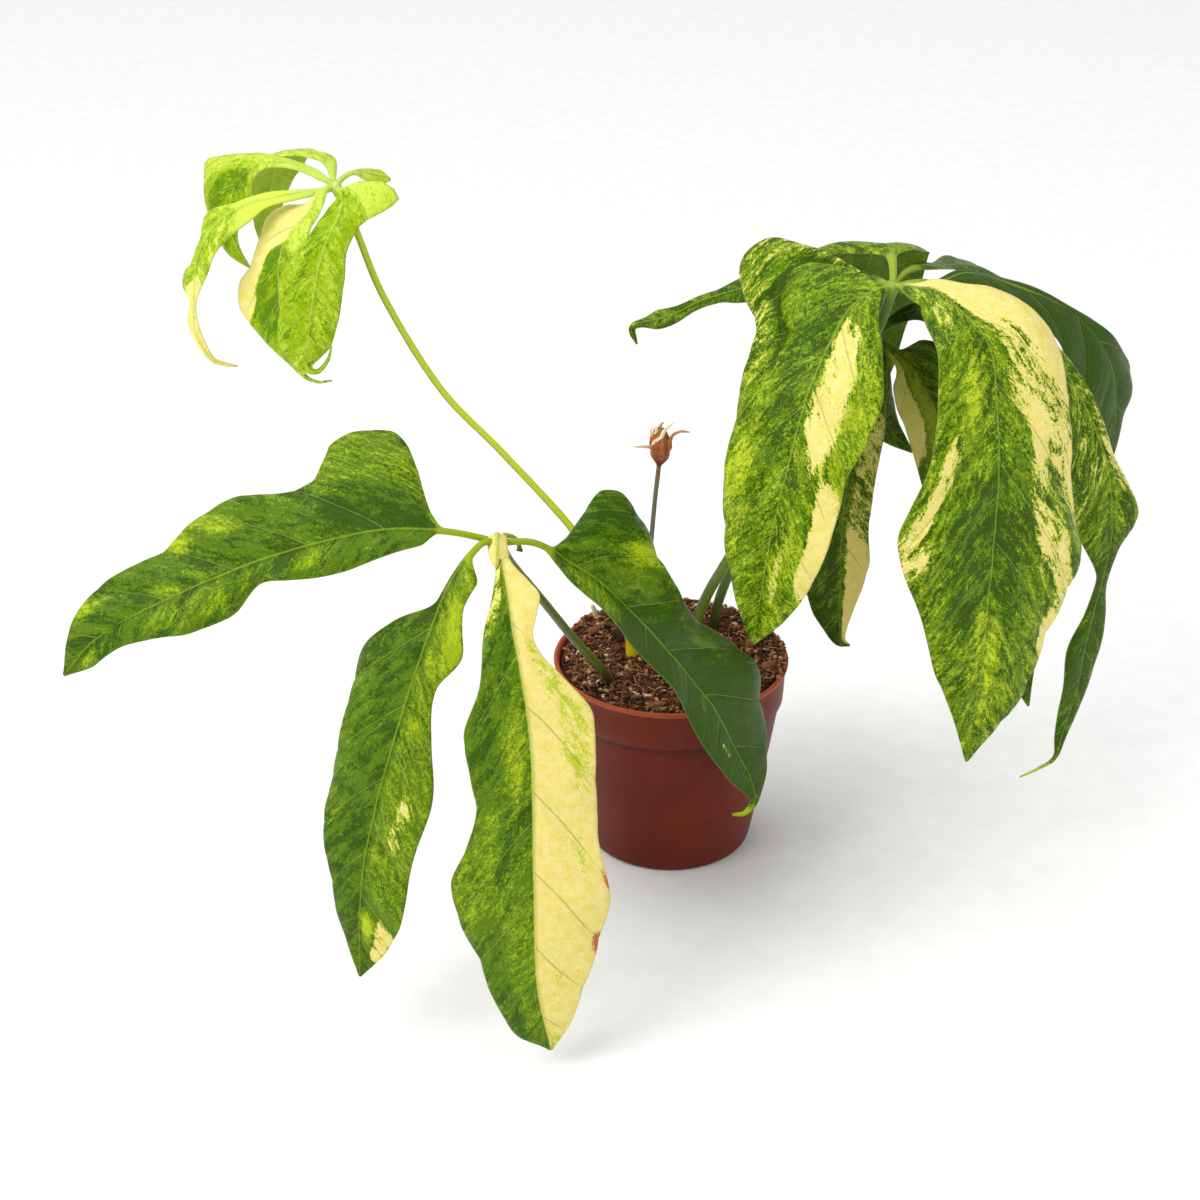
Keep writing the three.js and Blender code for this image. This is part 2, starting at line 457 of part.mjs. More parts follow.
// A thin leaf blade round its midrib. The thickness is laid to both sides of one waved
// middle surface, and both faces are split into triangles alike.
function bladeGeometry(blade) {
  const { rib, faces, left, right, fold, droop, wave } = blade;
  const { start = 0, fewest = FEWEST_ROWS } = blade;
  const curve = curveThrough(rib);
  const length = curve.getLength();
  const rows = Math.round(Math.min(Math.max(length / ROW_LENGTH, fewest), MOST_ROWS));
  const columns = BLADE_COLUMNS.length;
  const middle = [];
  const thickness = [];
  for (let row = 0; row <= rows; row += 1) {
    const u = (row / rows) ** BASE_CROWDING;
    const place = (start + u * (length - start)) / length;
    const along = curve.getTangentAt(place);
    const facing = evenlyAt(faces, u);
    const up = facing.addScaledVector(along, -facing.dot(along)).normalize();
    const toLeft = new THREE.Vector3().crossVectors(along, up);
    const stalklet = Math.max(0, 1 - Math.min(smoothAt(left, u), smoothAt(right, u)) / 7);
    const onset = Math.sin(Math.PI * u) ** 0.5;
    BLADE_COLUMNS.forEach((v) => {
      const width = smoothAt(v > 0 ? left : right, u);
      const share = Math.abs(v);
      const ripple = wave[0] * onset * share ** 2 * Math.min(1, width / 12)
        * Math.sin(2 * Math.PI * wave[1] * u + wave[2] + (v > 0 ? 0 : 2.4));
      const lift = width * (fold * share - droop * share ** 2) + ripple;
      const point = curve.getPointAt(place).addScaledVector(toLeft, v * width);
      middle.push(point.addScaledVector(up, lift));
      const ridge = RIB_RIDGE * (1 - 0.7 * u);
      const stalk = (STALKLET_THICKNESS - BLADE_THICKNESS) * stalklet * (1 - u) ** 2;
      thickness.push(BLADE_THICKNESS + (v === 0 ? Math.max(ridge, stalk) : stalk * (1 - share ** 2)));
    });
  }
  const at = (row, column) => row * columns + column;
  const count = middle.length;
  const points = [];
  const sides = [1, -1];
  sides.forEach((side) => {
    for (let row = 0; row <= rows; row += 1) {
      for (let column = 0; column < columns; column += 1) {
        const ahead = middle[at(Math.min(row + 1, rows), column)].clone();
        const along = ahead.sub(middle[at(Math.max(row - 1, 0), column)]);
        const beside = middle[at(row, Math.min(column + 1, columns - 1))].clone();
        const across = beside.sub(middle[at(row, Math.max(column - 1, 0))]);
        const normal = across.cross(along).normalize();
        const offset = (side * thickness[at(row, column)]) / 2;
        points.push(middle[at(row, column)].clone().addScaledVector(normal, offset));
      }
    }
  });
  const triangles = [];
  for (let row = 0; row < rows; row += 1) {
    for (let column = 0; column < columns - 1; column += 1) {
      const [a, b] = [at(row, column), at(row, column + 1)];
      const [d, c] = [at(row + 1, column), at(row + 1, column + 1)];
      triangles.push([a, b, c], [a, c, d]);
      triangles.push([a + count, c + count, b + count], [a + count, d + count, c + count]);
    }
  }
  const rim = [];
  for (let column = 0; column < columns; column += 1) rim.push(at(0, column));
  for (let row = 1; row <= rows; row += 1) rim.push(at(row, columns - 1));
  for (let column = columns - 2; column >= 0; column -= 1) rim.push(at(rows, column));
  for (let row = rows - 1; row >= 1; row -= 1) rim.push(at(row, 0));
  rim.forEach((corner, i) => {
    const next = rim[(i + 1) % rim.length];
    triangles.push([next, corner, corner + count], [next, corner + count, next + count]);
  });
  return geometryFrom(points, triangles);
}

function meshOf(name, geometry, color, roughness) {
  const material = new THREE.MeshStandardMaterial({ color, roughness, metalness: 0 });
  const mesh = new THREE.Mesh(geometry, material);
  mesh.name = name;
  return mesh;
}

// The outer radius of the pot's tapering body at height z, under the collar
function bodyRadius(z) {
  const collarFoot = POT_HEIGHT - COLLAR_HEIGHT;
  const topRadius = POT_RIM_RADIUS - 1 - COLLAR_STEP * 2;
  return POT_BASE_RADIUS + ((topRadius - POT_BASE_RADIUS) * z) / collarFoot;
}

function potMesh() {
  const collarFoot = POT_HEIGHT - COLLAR_HEIGHT;
  const collarFootRadius = bodyRadius(collarFoot) + COLLAR_STEP;
  const neckRadius = POT_RIM_RADIUS - 1;
  const profile = [
    [0, 0], [POT_BASE_RADIUS - 1.2, 0], [bodyRadius(1.2), 1.2],
    [bodyRadius(collarFoot - 1), collarFoot - 1], [collarFootRadius, collarFoot + 0.6],
    [neckRadius, POT_HEIGHT - 2.6], [POT_RIM_RADIUS, POT_HEIGHT - 1.8],
    [POT_RIM_RADIUS, POT_HEIGHT - 0.6], [POT_RIM_RADIUS - 0.6, POT_HEIGHT],
    [POT_RIM_RADIUS - 2.2, POT_HEIGHT], [neckRadius - POT_WALL, POT_HEIGHT - 2.6],
    [collarFootRadius - POT_WALL, collarFoot + 1.6],
    [bodyRadius(collarFoot) - POT_WALL, collarFoot - 0.4],
    [bodyRadius(2.4) - POT_WALL, 2.4], [bodyRadius(0) - POT_WALL - 0.8, POT_WALL], [0, POT_WALL],
  ].map(([r, z]) => new THREE.Vector2(r, z));
  const lathe = new THREE.LatheGeometry(profile, POT_SIDES);
  lathe.rotateX(Math.PI / 2);
  let pot = solidFrom(lathe);
  for (let hole = 0; hole < DRAIN_HOLES; hole += 1) {
    const angle = (2 * Math.PI * hole) / DRAIN_HOLES;
    const drill = new THREE.CylinderGeometry(DRAIN_HOLE_RADIUS, DRAIN_HOLE_RADIUS, 4 * POT_WALL, 12);
    drill.rotateX(Math.PI / 2);
    drill.translate(DRAIN_CIRCLE_RADIUS * Math.cos(angle), DRAIN_CIRCLE_RADIUS * Math.sin(angle), 0);
    pot = pot.subtract(solidFrom(drill));
  }
  return meshOf('pot', geometryOf(pot), 0x7a3123, 0.45);
}

// The height of the soil at radius share r and angle: lumpy, heaped to the back and right
function soilHeight(r, angle) {
  const back = Math.sin(angle);
  const lumps = 0.9 * Math.sin(5 * angle + 9 * r) + 0.7 * Math.sin(9 * angle - 14 * r + 1.3)
    + 0.6 * Math.cos(3 * angle + 21 * r);
  const heap = SOIL_HEAP * (1 - r ** 2) * (0.7 + 0.5 * back);
  const rise = SOIL_BACK_RISE * Math.max(0, back) + SOIL_RIGHT_RISE * Math.max(0, Math.cos(angle));
  const level = SOIL_EDGE_Z + rise * r;
  return level + heap + lumps * Math.min(1, 4 * (1 - r));
}

function soilMesh() {
  const collarFoot = POT_HEIGHT - COLLAR_HEIGHT;
  const collarFootRadius = bodyRadius(collarFoot) + COLLAR_STEP;
  const reach = FIT_GAP + POT_WALL;
  const soilFoot = POT_WALL + FIT_GAP;
  const topRadius = POT_RIM_RADIUS - 1.7 - reach;
  const wall = [
    [bodyRadius(0) - reach - 1.2, soilFoot], [bodyRadius(3) - reach, 3.2],
    [bodyRadius(collarFoot) - reach - 0.2, collarFoot - 0.6],
    [collarFootRadius - reach, collarFoot + 2.2],
  ];
  const points = [new THREE.Vector3(0, 0, soilFoot)];
  const ring = (radiusAt, heightAt) => {
    for (let side = 0; side < SOIL_SIDES; side += 1) {
      const angle = (2 * Math.PI * side) / SOIL_SIDES;
      const radius = radiusAt(angle);
      const [x, y] = [radius * Math.cos(angle), radius * Math.sin(angle)];
      points.push(new THREE.Vector3(x, y, heightAt(angle)));
    }
  };
  wall.forEach(([radius, z]) => ring(() => radius, () => z));
  ring(() => topRadius, (angle) => soilHeight(1, angle));
  SOIL_RINGS.forEach((r) => ring(() => r * topRadius, (angle) => soilHeight(r, angle)));
  points.push(new THREE.Vector3(0, 0, soilHeight(0, 0)));
  const rings = wall.length + 1 + SOIL_RINGS.length;
  const at = (index, side) => 1 + index * SOIL_SIDES + (side % SOIL_SIDES);
  const triangles = [];
  for (let side = 0; side < SOIL_SIDES; side += 1) {
    triangles.push([0, at(0, side + 1), at(0, side)]);
    triangles.push([at(rings - 1, side), at(rings - 1, side + 1), points.length - 1]);
    for (let index = 0; index < rings - 1; index += 1) {
      triangles.push([at(index, side), at(index, side + 1), at(index + 1, side + 1)]);
      triangles.push([at(index, side), at(index + 1, side + 1), at(index + 1, side)]);
    }
  }
  let soil = solidFrom(geometryFrom(points, triangles));
  Object.values(STEMS).forEach(({ path, radii }) => {
    const [foot, mouth] = [vector(path[0]), vector(path[1])];
    const sunk = foot.clone().lerp(mouth, -FIT_GAP / foot.distanceTo(mouth));
    soil = soil.subtract(solidFrom(stemGeometry([sunk.toArray(), ...path.slice(1)], radii, FIT_GAP)));
  });
  return meshOf('soil', geometryOf(soil), 0x4a3021, 0.95);
}

function stemMesh(name, { path, radii, knob, color }) {
  const stem = stemGeometry(path, radii);
  if (knob === 0) return meshOf(name, stem, color, 0.5);
  const ball = new THREE.SphereGeometry(knob, 10, 7);
  ball.translate(...path[path.length - 1]);
  return meshOf(name, geometryOf(solidFrom(stem).add(solidFrom(ball))), color, 0.5);
}

function leafletMesh(name, leaflet) {
  const stem = Object.values(STEMS).find(({ path }) => path[path.length - 1] === leaflet.rib[0]);
  const start = stem.knob + FIT_GAP;
  return meshOf(name, bladeGeometry({ ...leaflet, start }), leaflet.color, 0.4);
}

function budMesh() {
  const profile = BUD_PROFILE.map(([r, z]) => new THREE.Vector2(r, z));
  const husk = new THREE.LatheGeometry(profile, BUD_SIDES);
  husk.rotateX(Math.PI / 2);
  let bud = solidFrom(husk);
  BRACTS.forEach(({ rib, faces }) => {
    const bract = bladeGeometry({
      rib, faces, left: BRACT_WIDTHS, right: BRACT_WIDTHS, fold: 0.1, droop: 0.3, wave: [0, 1, 0],
      fewest: BRACT_ROWS,
    });
    bud = bud.add(solidFrom(bract));
  });
  const geometry = geometryOf(bud);
  geometry.translate(...BUD_FOOT);
  return meshOf('withered_bud', geometry, BUD_COLOR, 0.85);
}

const plant = new THREE.Group();
plant.add(potMesh(), soilMesh());
Object.entries(STEMS).forEach(([name, stem]) => plant.add(stemMesh(name, stem)));
Object.entries(LEAFLETS).forEach(([name, leaflet]) => plant.add(leafletMesh(name, leaflet)));
plant.add(budMesh());

export default plant;
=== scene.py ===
"""The potted variegated anthurium for rendering: detailed leaves, stalks, soil, pot and
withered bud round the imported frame, with +Z up. Shapes are written in millimetres, and
new_piece turns them into metres."""

import math
import random

import bpy
import numpy as np
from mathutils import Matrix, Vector, noise


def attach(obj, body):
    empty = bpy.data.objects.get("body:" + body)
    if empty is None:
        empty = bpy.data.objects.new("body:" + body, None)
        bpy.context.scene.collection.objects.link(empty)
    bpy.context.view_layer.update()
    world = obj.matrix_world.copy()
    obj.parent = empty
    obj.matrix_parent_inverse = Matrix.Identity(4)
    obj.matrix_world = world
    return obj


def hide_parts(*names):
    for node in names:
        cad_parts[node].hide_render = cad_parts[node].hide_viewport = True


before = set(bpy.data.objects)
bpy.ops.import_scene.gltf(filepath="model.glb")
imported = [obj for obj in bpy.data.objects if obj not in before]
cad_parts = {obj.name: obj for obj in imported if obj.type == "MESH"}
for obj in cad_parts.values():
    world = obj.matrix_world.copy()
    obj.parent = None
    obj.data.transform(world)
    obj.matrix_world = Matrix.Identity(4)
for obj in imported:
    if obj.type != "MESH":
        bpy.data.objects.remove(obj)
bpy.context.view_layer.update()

MM = 0.001

# The top of each leaf stalk, and the radius of the knob there
YOUNG_HUB = (-164, 15, 356)
FRONT_HUB = (-82, -130, 238)
CROWN_HUB = (104, 0, 311)
LOWER_HUB = (105, 55, 263)
KNOBS = {"young": 4, "front": 4.2, "crown": 4.6, "lower": 4.5}

# Leaflets. rib is the midrib from the hub to the tip, and faces the directions that the
# upper side looks to. left and right take turns: a share of the length, the half
# width there. bend is how far the halves fold up and droop, wave the height, count and phase
# of the margin's waves, and lime how light the green is. marks paints the blade: strength,
# from and to along it on its side veins, from and to across it (left is positive). crease is
# a fold in one half: from and to along the blade, its place across, its depth.
LEAFLETS = {
    "young_leaflet_1": dict(
        rib=[YOUNG_HUB, (-160, 9, 353), (-161, 1, 347), (-165, -6, 340), (-170, -13, 328),
            (-174, -20, 309), (-177, -25, 287), (-177, -26, 279), (-172, -27, 278),
            (-167, -27, 284), (-165, -27, 291)],
        faces=[(-.4, -.7, .75), (.1, -.9, .4), (0, -.95, .2), (0, -.95, .2)],
        left=[0, 1.4, .05, 5, .1, 7.5, .2, 8.5, .28, 9.5, .36, 13, .46, 17.5, .6, 15, .7, 15,
            .77, 10, .83, 1.6, 1, .4],
        right=[0, 1.4, .01, 8, .022, 17, .04, 23.5, .058, 27, .075, 23.5, .1, 17, .125, 12.5,
            .16, 10.5, .25, 10.5, .4, 13, .55, 13.5, .7, 11, .78, 5, .84, 1.5, 1, .4],
        bend=(.12, .25), wave=(1, 3, .5), lime=.06,
        marks=dict(lime=[(.5, -2, .02, -1.3, -.12), (.12, .2, .8, -1, 1)],
            cream=[(.86, -2, 0, -1.3, -.2), (.35, .05, .5, -1.2, 0)], dark=[(.3, .1, .7, .1, .9)])),
    "young_leaflet_2": dict(
        rib=[YOUNG_HUB, (-170, 10, 355), (-176, 5, 347), (-185, 0, 338), (-190, -5, 326),
            (-191, -8, 306), (-189, -11, 288), (-183, -14, 273), (-175, -16, 268),
            (-167, -17, 269)],
        faces=[(-.4, -.5, .8), (-.4, -.85, .3), (-.3, -.9, .2), (0, -.95, .2)],
        left=[0, 1.4, .05, 1.8, .1, 5, .16, 14, .24, 18.5, .31, 15, .4, 16.5, .5, 24, .57, 24,
            .65, 16, .75, 7, .83, 2, .88, 1, 1, .4],
        right=[0, 1.4, .06, 4.5, .16, 6.5, .25, 11, .45, 12, .65, 10.5, .78, 7, .85, 2.5, .9, 1,
            1, .4],
        bend=(.12, .25), wave=(1, 3, 1.6), lime=.05,
        marks=dict(cream=[(2.6, -.6, .3, -.12, 1.3), (1.5, .2, .47, .5, 1.3),
                (.9, .75, 1.1, -1.2, 1.2)], lime=[(.4, 0, .3, -1.2, -.1)],
            dark=[(.5, .3, .7, 0, .6)])),
    "young_leaflet_3": dict(
        rib=[YOUNG_HUB, (-171, 14, 354), (-182, 12, 353), (-196, 8, 352), (-208, 4, 349),
            (-219, 0, 343), (-227, -3, 332), (-231, -5, 318), (-233, -6, 300), (-233, -6, 289),
            (-227, -6, 276), (-221, -6, 273), (-214, -6, 272)],
        faces=[(-.1, -.4, .9), (-.2, -.5, .8), (-.6, -.7, .4), (-.7, -.7, .1), (-.3, -.9, .2)],
        left=[0, 1.3, .06, 2.2, .2, 5, .3, 4.5, .4, 10, .48, 3.5, .55, 4, .6, 9, .65, 11, .7, 4.5,
            .75, 6, .8, 3.5, .9, 1.4, 1, .4],
        right=[0, 1.3, .06, 2.8, .2, 5, .3, 9.5, .42, 10.5, .55, 8, .65, 3.4, .7, 1.6, .78, 4,
            .88, 2.5, .95, 1.5, 1, .4],
        bend=(.15, .2), wave=(.8, 4, 0), lime=.18,
        marks=dict(lime=[(.6, -.2, .3, -1.2, 1.2)],
            cream=[(.8, .3, .6, -1.2, -.1), (1.5, .6, 1.1, -1.2, 1.2)])),
    "young_leaflet_4": dict(
        rib=[YOUNG_HUB, (-175, 22, 361), (-187, 27, 363.5), (-200, 31, 363), (-209, 33, 357),
            (-216, 35, 347), (-219, 35, 337), (-219, 34, 328), (-216, 32, 319), (-210, 31, 309)],
        faces=[(-.1, -.3, .95), (-.1, -.4, .9), (-.4, -.8, .4), (-.3, -.95, .1), (-.1, -.95, 0)],
        left=[0, 1.2, .06, 2, .2, 3, .34, 4.5, .42, 8, .48, 12.5, .54, 18.5, .58, 22.5, .63, 18,
            .75, 11.5, .9, 6, 1, .4],
        right=[0, 1.3, .06, 2.8, .3, 3.2, .44, 5, .58, 11, .7, 10, .82, 3, .92, 1, 1, .4],
        bend=(.1, .2), wave=(.8, 3, 2), lime=.05,
        marks=dict(lime=[(.3, 0, .45, -1.2, 1.2)], cream=[(.9, .15, .45, .2, 1.2)],
            dark=[(.4, .45, .9, -.4, .8)])),
    "young_leaflet_5": dict(
        rib=[YOUNG_HUB, (-169.5, 30, 364.5), (-182, 43, 365), (-192, 53, 361), (-199, 59, 350),
            (-203, 63, 337), (-207, 66, 322), (-209, 67, 308)],
        faces=[(0, -.2, 1), (-.2, .4, .9), (-.5, .7, .4), (-.5, .8, .1)],
        left=[0, 1.3, .08, 3.5, .25, 9, .5, 13, .75, 9, .9, 4, 1, .5],
        right=[0, 1.2, .08, 1.8, .18, 4.5, .3, 10, .5, 14, .75, 10, .9, 5, 1, .5],
        bend=(.1, .25), wave=(1, 3, 1), lime=.05,
        marks=dict(lime=[(.3, -.2, .35, -1.2, 1.2)])),
    "young_leaflet_6": dict(
        rib=[YOUNG_HUB, (-160, 20, 359), (-155, 24, 360), (-147, 28, 357), (-139, 32, 354)],
        faces=[(.1, -.3, .95), (.2, -.4, .9)],
        left=[0, 1.2, .3, 1.6, .45, 4, .65, 4.6, .85, 3.4, 1, 1],
        right=[0, 1.2, .3, 1.6, .45, 4, .7, 7, .88, 7, 1, 1],
        bend=(.1, .2), wave=(.4, 2, 1), lime=.3,
        marks=dict(cream=[(.8, .3, 1.1, -1.2, 1.2)])),
    "front_leaflet_1": dict(
        rib=[FRONT_HUB, (-107, -133, 245), (-137, -137, 247), (-184, -143, 237), (-233, -148, 217),
            (-262, -150, 200), (-279, -150, 181)],
        faces=[(0, -.5, .8), (0, -.8, .55), (-.1, -.8, .5)],
        left=[0, 1.5, .1, 1.5, .125, 8, .145, 24, .17, 45, .2, 51, .24, 50.5, .3, 45, .35, 29,
            .41, 27, .5, 30.5, .6, 27, .7, 20.5, .8, 20, .9, 14.5, 1, .6],
        right=[0, 1.5, .11, 1.5, .15, 8, .25, 13, .38, 15, .44, 13, .5, 10, .6, 19, .68, 18.5,
            .78, 12.5, .85, 9, .92, 8.5, 1, .6],
        bend=(.1, .16), wave=(2, 4, .4), lime=-.06,
        marks=dict(lime=[(.42, .4, .47, .55, 1.1), (.5, .5, .56, .7, 1.2), (.45, .76, .83, .6, 1.2),
                (.4, .66, .71, .05, .35), (.35, .59, .62, .02, .3), (.22, -.3, .22, .35, 1.2),
                (.3, .27, .31, .75, 1.1), (.35, .33, .4, -.7, -.15), (.2, .5, .75, -.8, -.2),
                (.3, .88, .95, -.9, -.3)],
            cream=[(.34, .5, .56, .7, 1.2), (.3, .76, .83, .6, 1.2), (.26, .66, .72, .04, .4),
                (.26, .41, .47, .5, 1.1)], dark=[(.5, .1, .3, 0, .5)])),
    "front_leaflet_2": dict(
        rib=[FRONT_HUB, (-91, -138, 240), (-106, -146, 220), (-124, -160, 174), (-140, -172, 121),
            (-147, -180, 85), (-149, -186, 40)],
        faces=[(-.2, -.5, .8), (-.35, -.85, .35), (-.3, -.9, .2)],
        left=[0, 1.5, .09, 1.5, .17, 2.5, .25, 19, .35, 31, .5, 27, .66, 25.5, .76, 17.5, .86, 13,
            .93, 7, 1, .6],
        right=[0, 1.5, .06, 1.8, .1, 11, .15, 11, .2, 14, .26, 18, .34, 11.5, .45, 18, .6, 25,
            .75, 22, .86, 20, .93, 13.5, 1, .6],
        bend=(.1, .16), wave=(1.8, 4, 1.2), lime=-.1,
        marks=dict(lime=[(.3, -.2, .28, -1.2, -.1), (.4, .14, .23, -1, -.5),
                (.25, .25, .8, -1.1, -.05), (.8, .84, .9, -.35, -.06), (.12, .2, .6, .6, 1.2)],
            cream=[(.65, -.2, .25, -1.2, -.2), (.95, .48, .66, -.75, -.35),
                (1.2, .8, .94, -1.1, -.4)])),
    "front_leaflet_3": dict(
        rib=[FRONT_HUB, (-80, -148, 231), (-75, -166, 209), (-68, -184, 165), (-67, -198, 104),
            (-66, -205, 50), (-60, -206, 13)],
        faces=[(0, -.5, .8), (0, -.9, .4), (0, -.95, .2)],
        left=[0, 1.6, .05, 3, .1, 6.5, .15, 12, .25, 18, .36, 29, .45, 27, .5, 25.5, .58, 30,
            .65, 37, .72, 34.5, .8, 26, .88, 20, .95, 15, 1, .8],
        right=[0, 1.6, .04, 5, .08, 11, .11, 14.5, .14, 12, .18, 8.5, .22, 11, .27, 19, .34, 29,
            .45, 28, .55, 29, .67, 34, .75, 30, .85, 23, .95, 12, 1, .8],
        bend=(.1, .16), wave=(1.6, 4, 2.2), lime=-.02,
        marks=dict(cream=[(2.6, -2, 1.3, -1.4, 0), (.95, -.3, .14, .3, 1.3)],
            lime=[(.42, .16, .36, -1, -.45), (.28, .44, .52, -.75, -.3), (.2, .3, .9, -.8, -.66),
                (.3, .74, .9, -.6, -.2), (.45, .93, 1.1, -1, -.1), (.35, .28, .46, .1, .4),
                (.18, .4, .62, .5, 1), (.15, .55, .95, 0, .5)],
            burn_and_shade=[(.5, .22, .4, -1.15, -.97), (.75, .46, .49, -1.1, -.93),
                (.8, .6, .66, -1.1, -.88)])),
    "front_leaflet_4": dict(
        rib=[FRONT_HUB, (-66, -127, 236), (-50, -120, 222), (-28, -110, 198), (11, -87, 137),
            (28, -77, 101), (41, -69, 66), (37, -70, 55), (30, -71, 54)],
        faces=[(0, -.4, .9), (.4, -.65, .65), (.5, -.75, .4)],
        left=[0, 1.5, .06, 1.5, .1, 5, .2, 10, .32, 12, .42, 11.5, .6, 13.5, .72, 15, .82, 12,
            .9, 6, .94, 2.5, 1, .6],
        right=[0, 1.5, .08, 1.6, .12, 11, .16, 30, .2, 50, .24, 55, .29, 51, .35, 40, .41, 31.5,
            .5, 27.5, .6, 33, .68, 36, .74, 34, .82, 25, .89, 13, .94, 2.5, 1, .6],
        bend=(.1, .16), wave=(1.8, 4, .9), lime=-.16,
        marks=dict(lime=[(.6, .12, .2, -1, -.48), (.3, .12, .27, .25, .95),
                (.28, .4, .5, -.95, -.45), (1.2, .95, 1.2, -1.3, 1.3), (.1, .2, .4, -.6, -.1)],
            cream=[(.85, .69, .78, .28, .5)],
            dark=[(-.3, .1, .35, -1.2, 0), (.6, .3, .95, -1.2, 1.2)])),
    "front_leaflet_5": dict(
        rib=[FRONT_HUB, (-79, -120, 236.5), (-76, -112, 230.5), (-73, -106, 221.5)],
        faces=[(0, -.3, .95), (.1, -.6, .8)],
        left=[0, 1.3, .2, 1.6, .35, 4, .55, 5, .75, 3.8, .9, 1.8, 1, .6],
        right=[0, 1.3, .2, 1.6, .35, 3.6, .55, 4.6, .75, 3.4, .9, 1.6, 1, .6],
        bend=(.1, .2), wave=(.6, 2, .9), lime=-.2,
        marks={}),
    "crown_leaflet_1": dict(
        rib=[CROWN_HUB, (90, -10, 310), (77, -20, 299), (62, -37, 270), (51, -51, 231),
            (43, -60, 190), (38, -64, 149)],
        faces=[(-.4, -.68, .7), (-.45, -.8, .5), (-.4, -.9, .25)],
        left=[0, 1.8, .015, 6, .03, 22, .05, 44, .08, 62, .12, 68, .16, 62, .2, 49, .25, 39,
            .35, 37, .5, 34, .65, 31.5, .75, 25, .85, 16.5, .93, 10, 1, .6],
        right=[0, 1.8, .04, 6, .1, 15, .2, 27, .32, 35, .42, 35, .55, 29, .68, 29, .8, 24, .9, 16,
            1, .6],
        bend=(.1, .16), wave=(1.8, 4, 0), lime=.02, crease=(0, .32, .62, 4),
        marks=dict(cream=[(1.25, .13, .45, -.54, -.04), (.7, .4, .52, -.55, -.25),
                (2.2, .42, .74, -1.4, -.64), (.85, .62, .88, -.42, -.08), (.78, -1, .2, .66, 1.3),
                (.5, -1, .1, .05, .6), (.62, .05, .4, -1.1, -.4)],
            lime=[(.35, .27, .33, -.22, -.06), (.3, .36, .5, .55, .95), (.15, .6, .95, -.9, -.1),
                (.25, .1, .45, -1.2, -.5), (.1, .1, .9, .5, 1.2)], dark=[(.3, .1, .5, .05, .5)])),
    "crown_leaflet_2": dict(
        rib=[CROWN_HUB, (114, -8, 313), (126, -15, 312), (145, -36, 297), (150, -53, 266),
            (151, -65, 222), (149, -76, 161), (144, -84, 94)],
        faces=[(.1, -.3, .9), (.4, -.75, .5), (.3, -.9, .25)],
        left=[0, 1.8, .03, 8, .08, 15, .14, 22.5, .22, 28, .32, 29, .4, 34, .5, 46, .55, 49.5,
            .61, 46, .7, 36, .8, 25, .9, 12, 1, .8],
        right=[0, 1.8, .03, 7, .07, 12, .11, 25, .16, 34, .22, 41, .3, 42, .42, 44, .52, 50, .6, 54,
            .66, 50, .78, 37, .9, 22, 1, .8],
        bend=(.1, .16), wave=(2, 4, 2.6), lime=.04,
        marks=dict(cream=[(2.6, -2, .1, -1.6, -.22), (1.02, .06, .31, -1.3, -.12),
                (.75, .25, .5, -.6, -.42), (.34, .3, .55, -1.2, -.35), (.5, .33, .42, -.85, -.62),
                (.8, .4, .5, -1.15, -.6), (1.5, .53, .65, -1.3, -.76), (.6, .2, .28, -1.2, -.9),
                (.75, .25, .34, .42, .85), (1.05, .3, .46, .66, 1.3), (.72, -.2, .15, -.3, .75)],
            lime=[(.35, .2, .3, .28, .6), (.35, .66, .8, .03, .2), (.3, .7, .9, -.2, -.03)],
            dark=[(.5, .42, .7, -.4, .55)])),
    "crown_leaflet_3": dict(
        rib=[CROWN_HUB, (123, 8, 310), (152, 15, 298), (182, 20, 275), (205, 18, 244),
            (219, 12, 214), (224, 8, 187), (224, 4, 164), (216, -3, 118), (213, -6, 89),
            (207, -10, 64), (204, -13, 52), (196, -14, 46), (186, -15, 41)],
        faces=[(.2, -.2, .9), (.5, -.6, .6), (.5, -.8, .3), (.5, -.8, .2), (.4, -.9, .1)],
        left=[0, 1.3, .04, 6, .09, 18, .2, 25, .4, 27, .5, 28, .55, 25, .6, 15, .65, 4, .7, 5,
            .77, 11, .85, 8.5, .9, 4.5, .94, 1.5, 1, .4],
        right=[0, 1.2, .05, 1.4, .1, 5, .25, 7.5, .35, 8, .45, 7.5, .51, 13, .55, 18.5, .6, 7,
            .65, 5, .7, 10, .75, 11, .85, 7, .9, 4, .94, 1.5, 1, .4],
        bend=(.12, .18), wave=(1.6, 5, .7), lime=0,
        marks=dict(cream=[(.7, .1, .5, -1.2, 1.2), (.4, .4, .5, -1.2, -.3)],
            dark=[(.7, .58, .95, -1.2, 1.2)], lime=[(.8, .95, 1.2, -1.2, 1.2)])),
    "crown_leaflet_4": dict(
        rib=[CROWN_HUB, (117, 11, 304), (132, 23, 305), (149, 35, 304.5), (186, 52, 287),
            (210, 60, 270), (227, 64, 247), (233, 64, 224), (234, 62, 202), (232, 60, 180)],
        faces=[(.1, .1, 1), (.4, -.2, .9), (.7, -.6, .4), (.7, -.7, .1)],
        left=[0, 1.2, .08, 1.6, .16, 6, .3, 14, .45, 22, .6, 28, .8, 26, .9, 17, 1, .6],
        right=[0, 1.2, .08, 1.6, .15, 3.5, .3, 5, .5, 4.5, .6, 8, .7, 15, .77, 25, .8, 24, .85, 11,
            .9, 6, 1, .6],
        bend=(.1, .18), wave=(1.4, 4, 1.3), lime=-.4,
        marks=dict(dark=[(.9, -.2, 1, -1.2, 1.2)])),
    "crown_leaflet_5": dict(
        rib=[CROWN_HUB, (115, 21, 312), (135, 43, 306), (156, 64, 298), (172, 84, 276),
            (181, 99, 240), (184, 107, 196)],
        faces=[(0, 0, 1), (.3, .2, .9), (.6, .6, .5), (.6, .8, .2)],
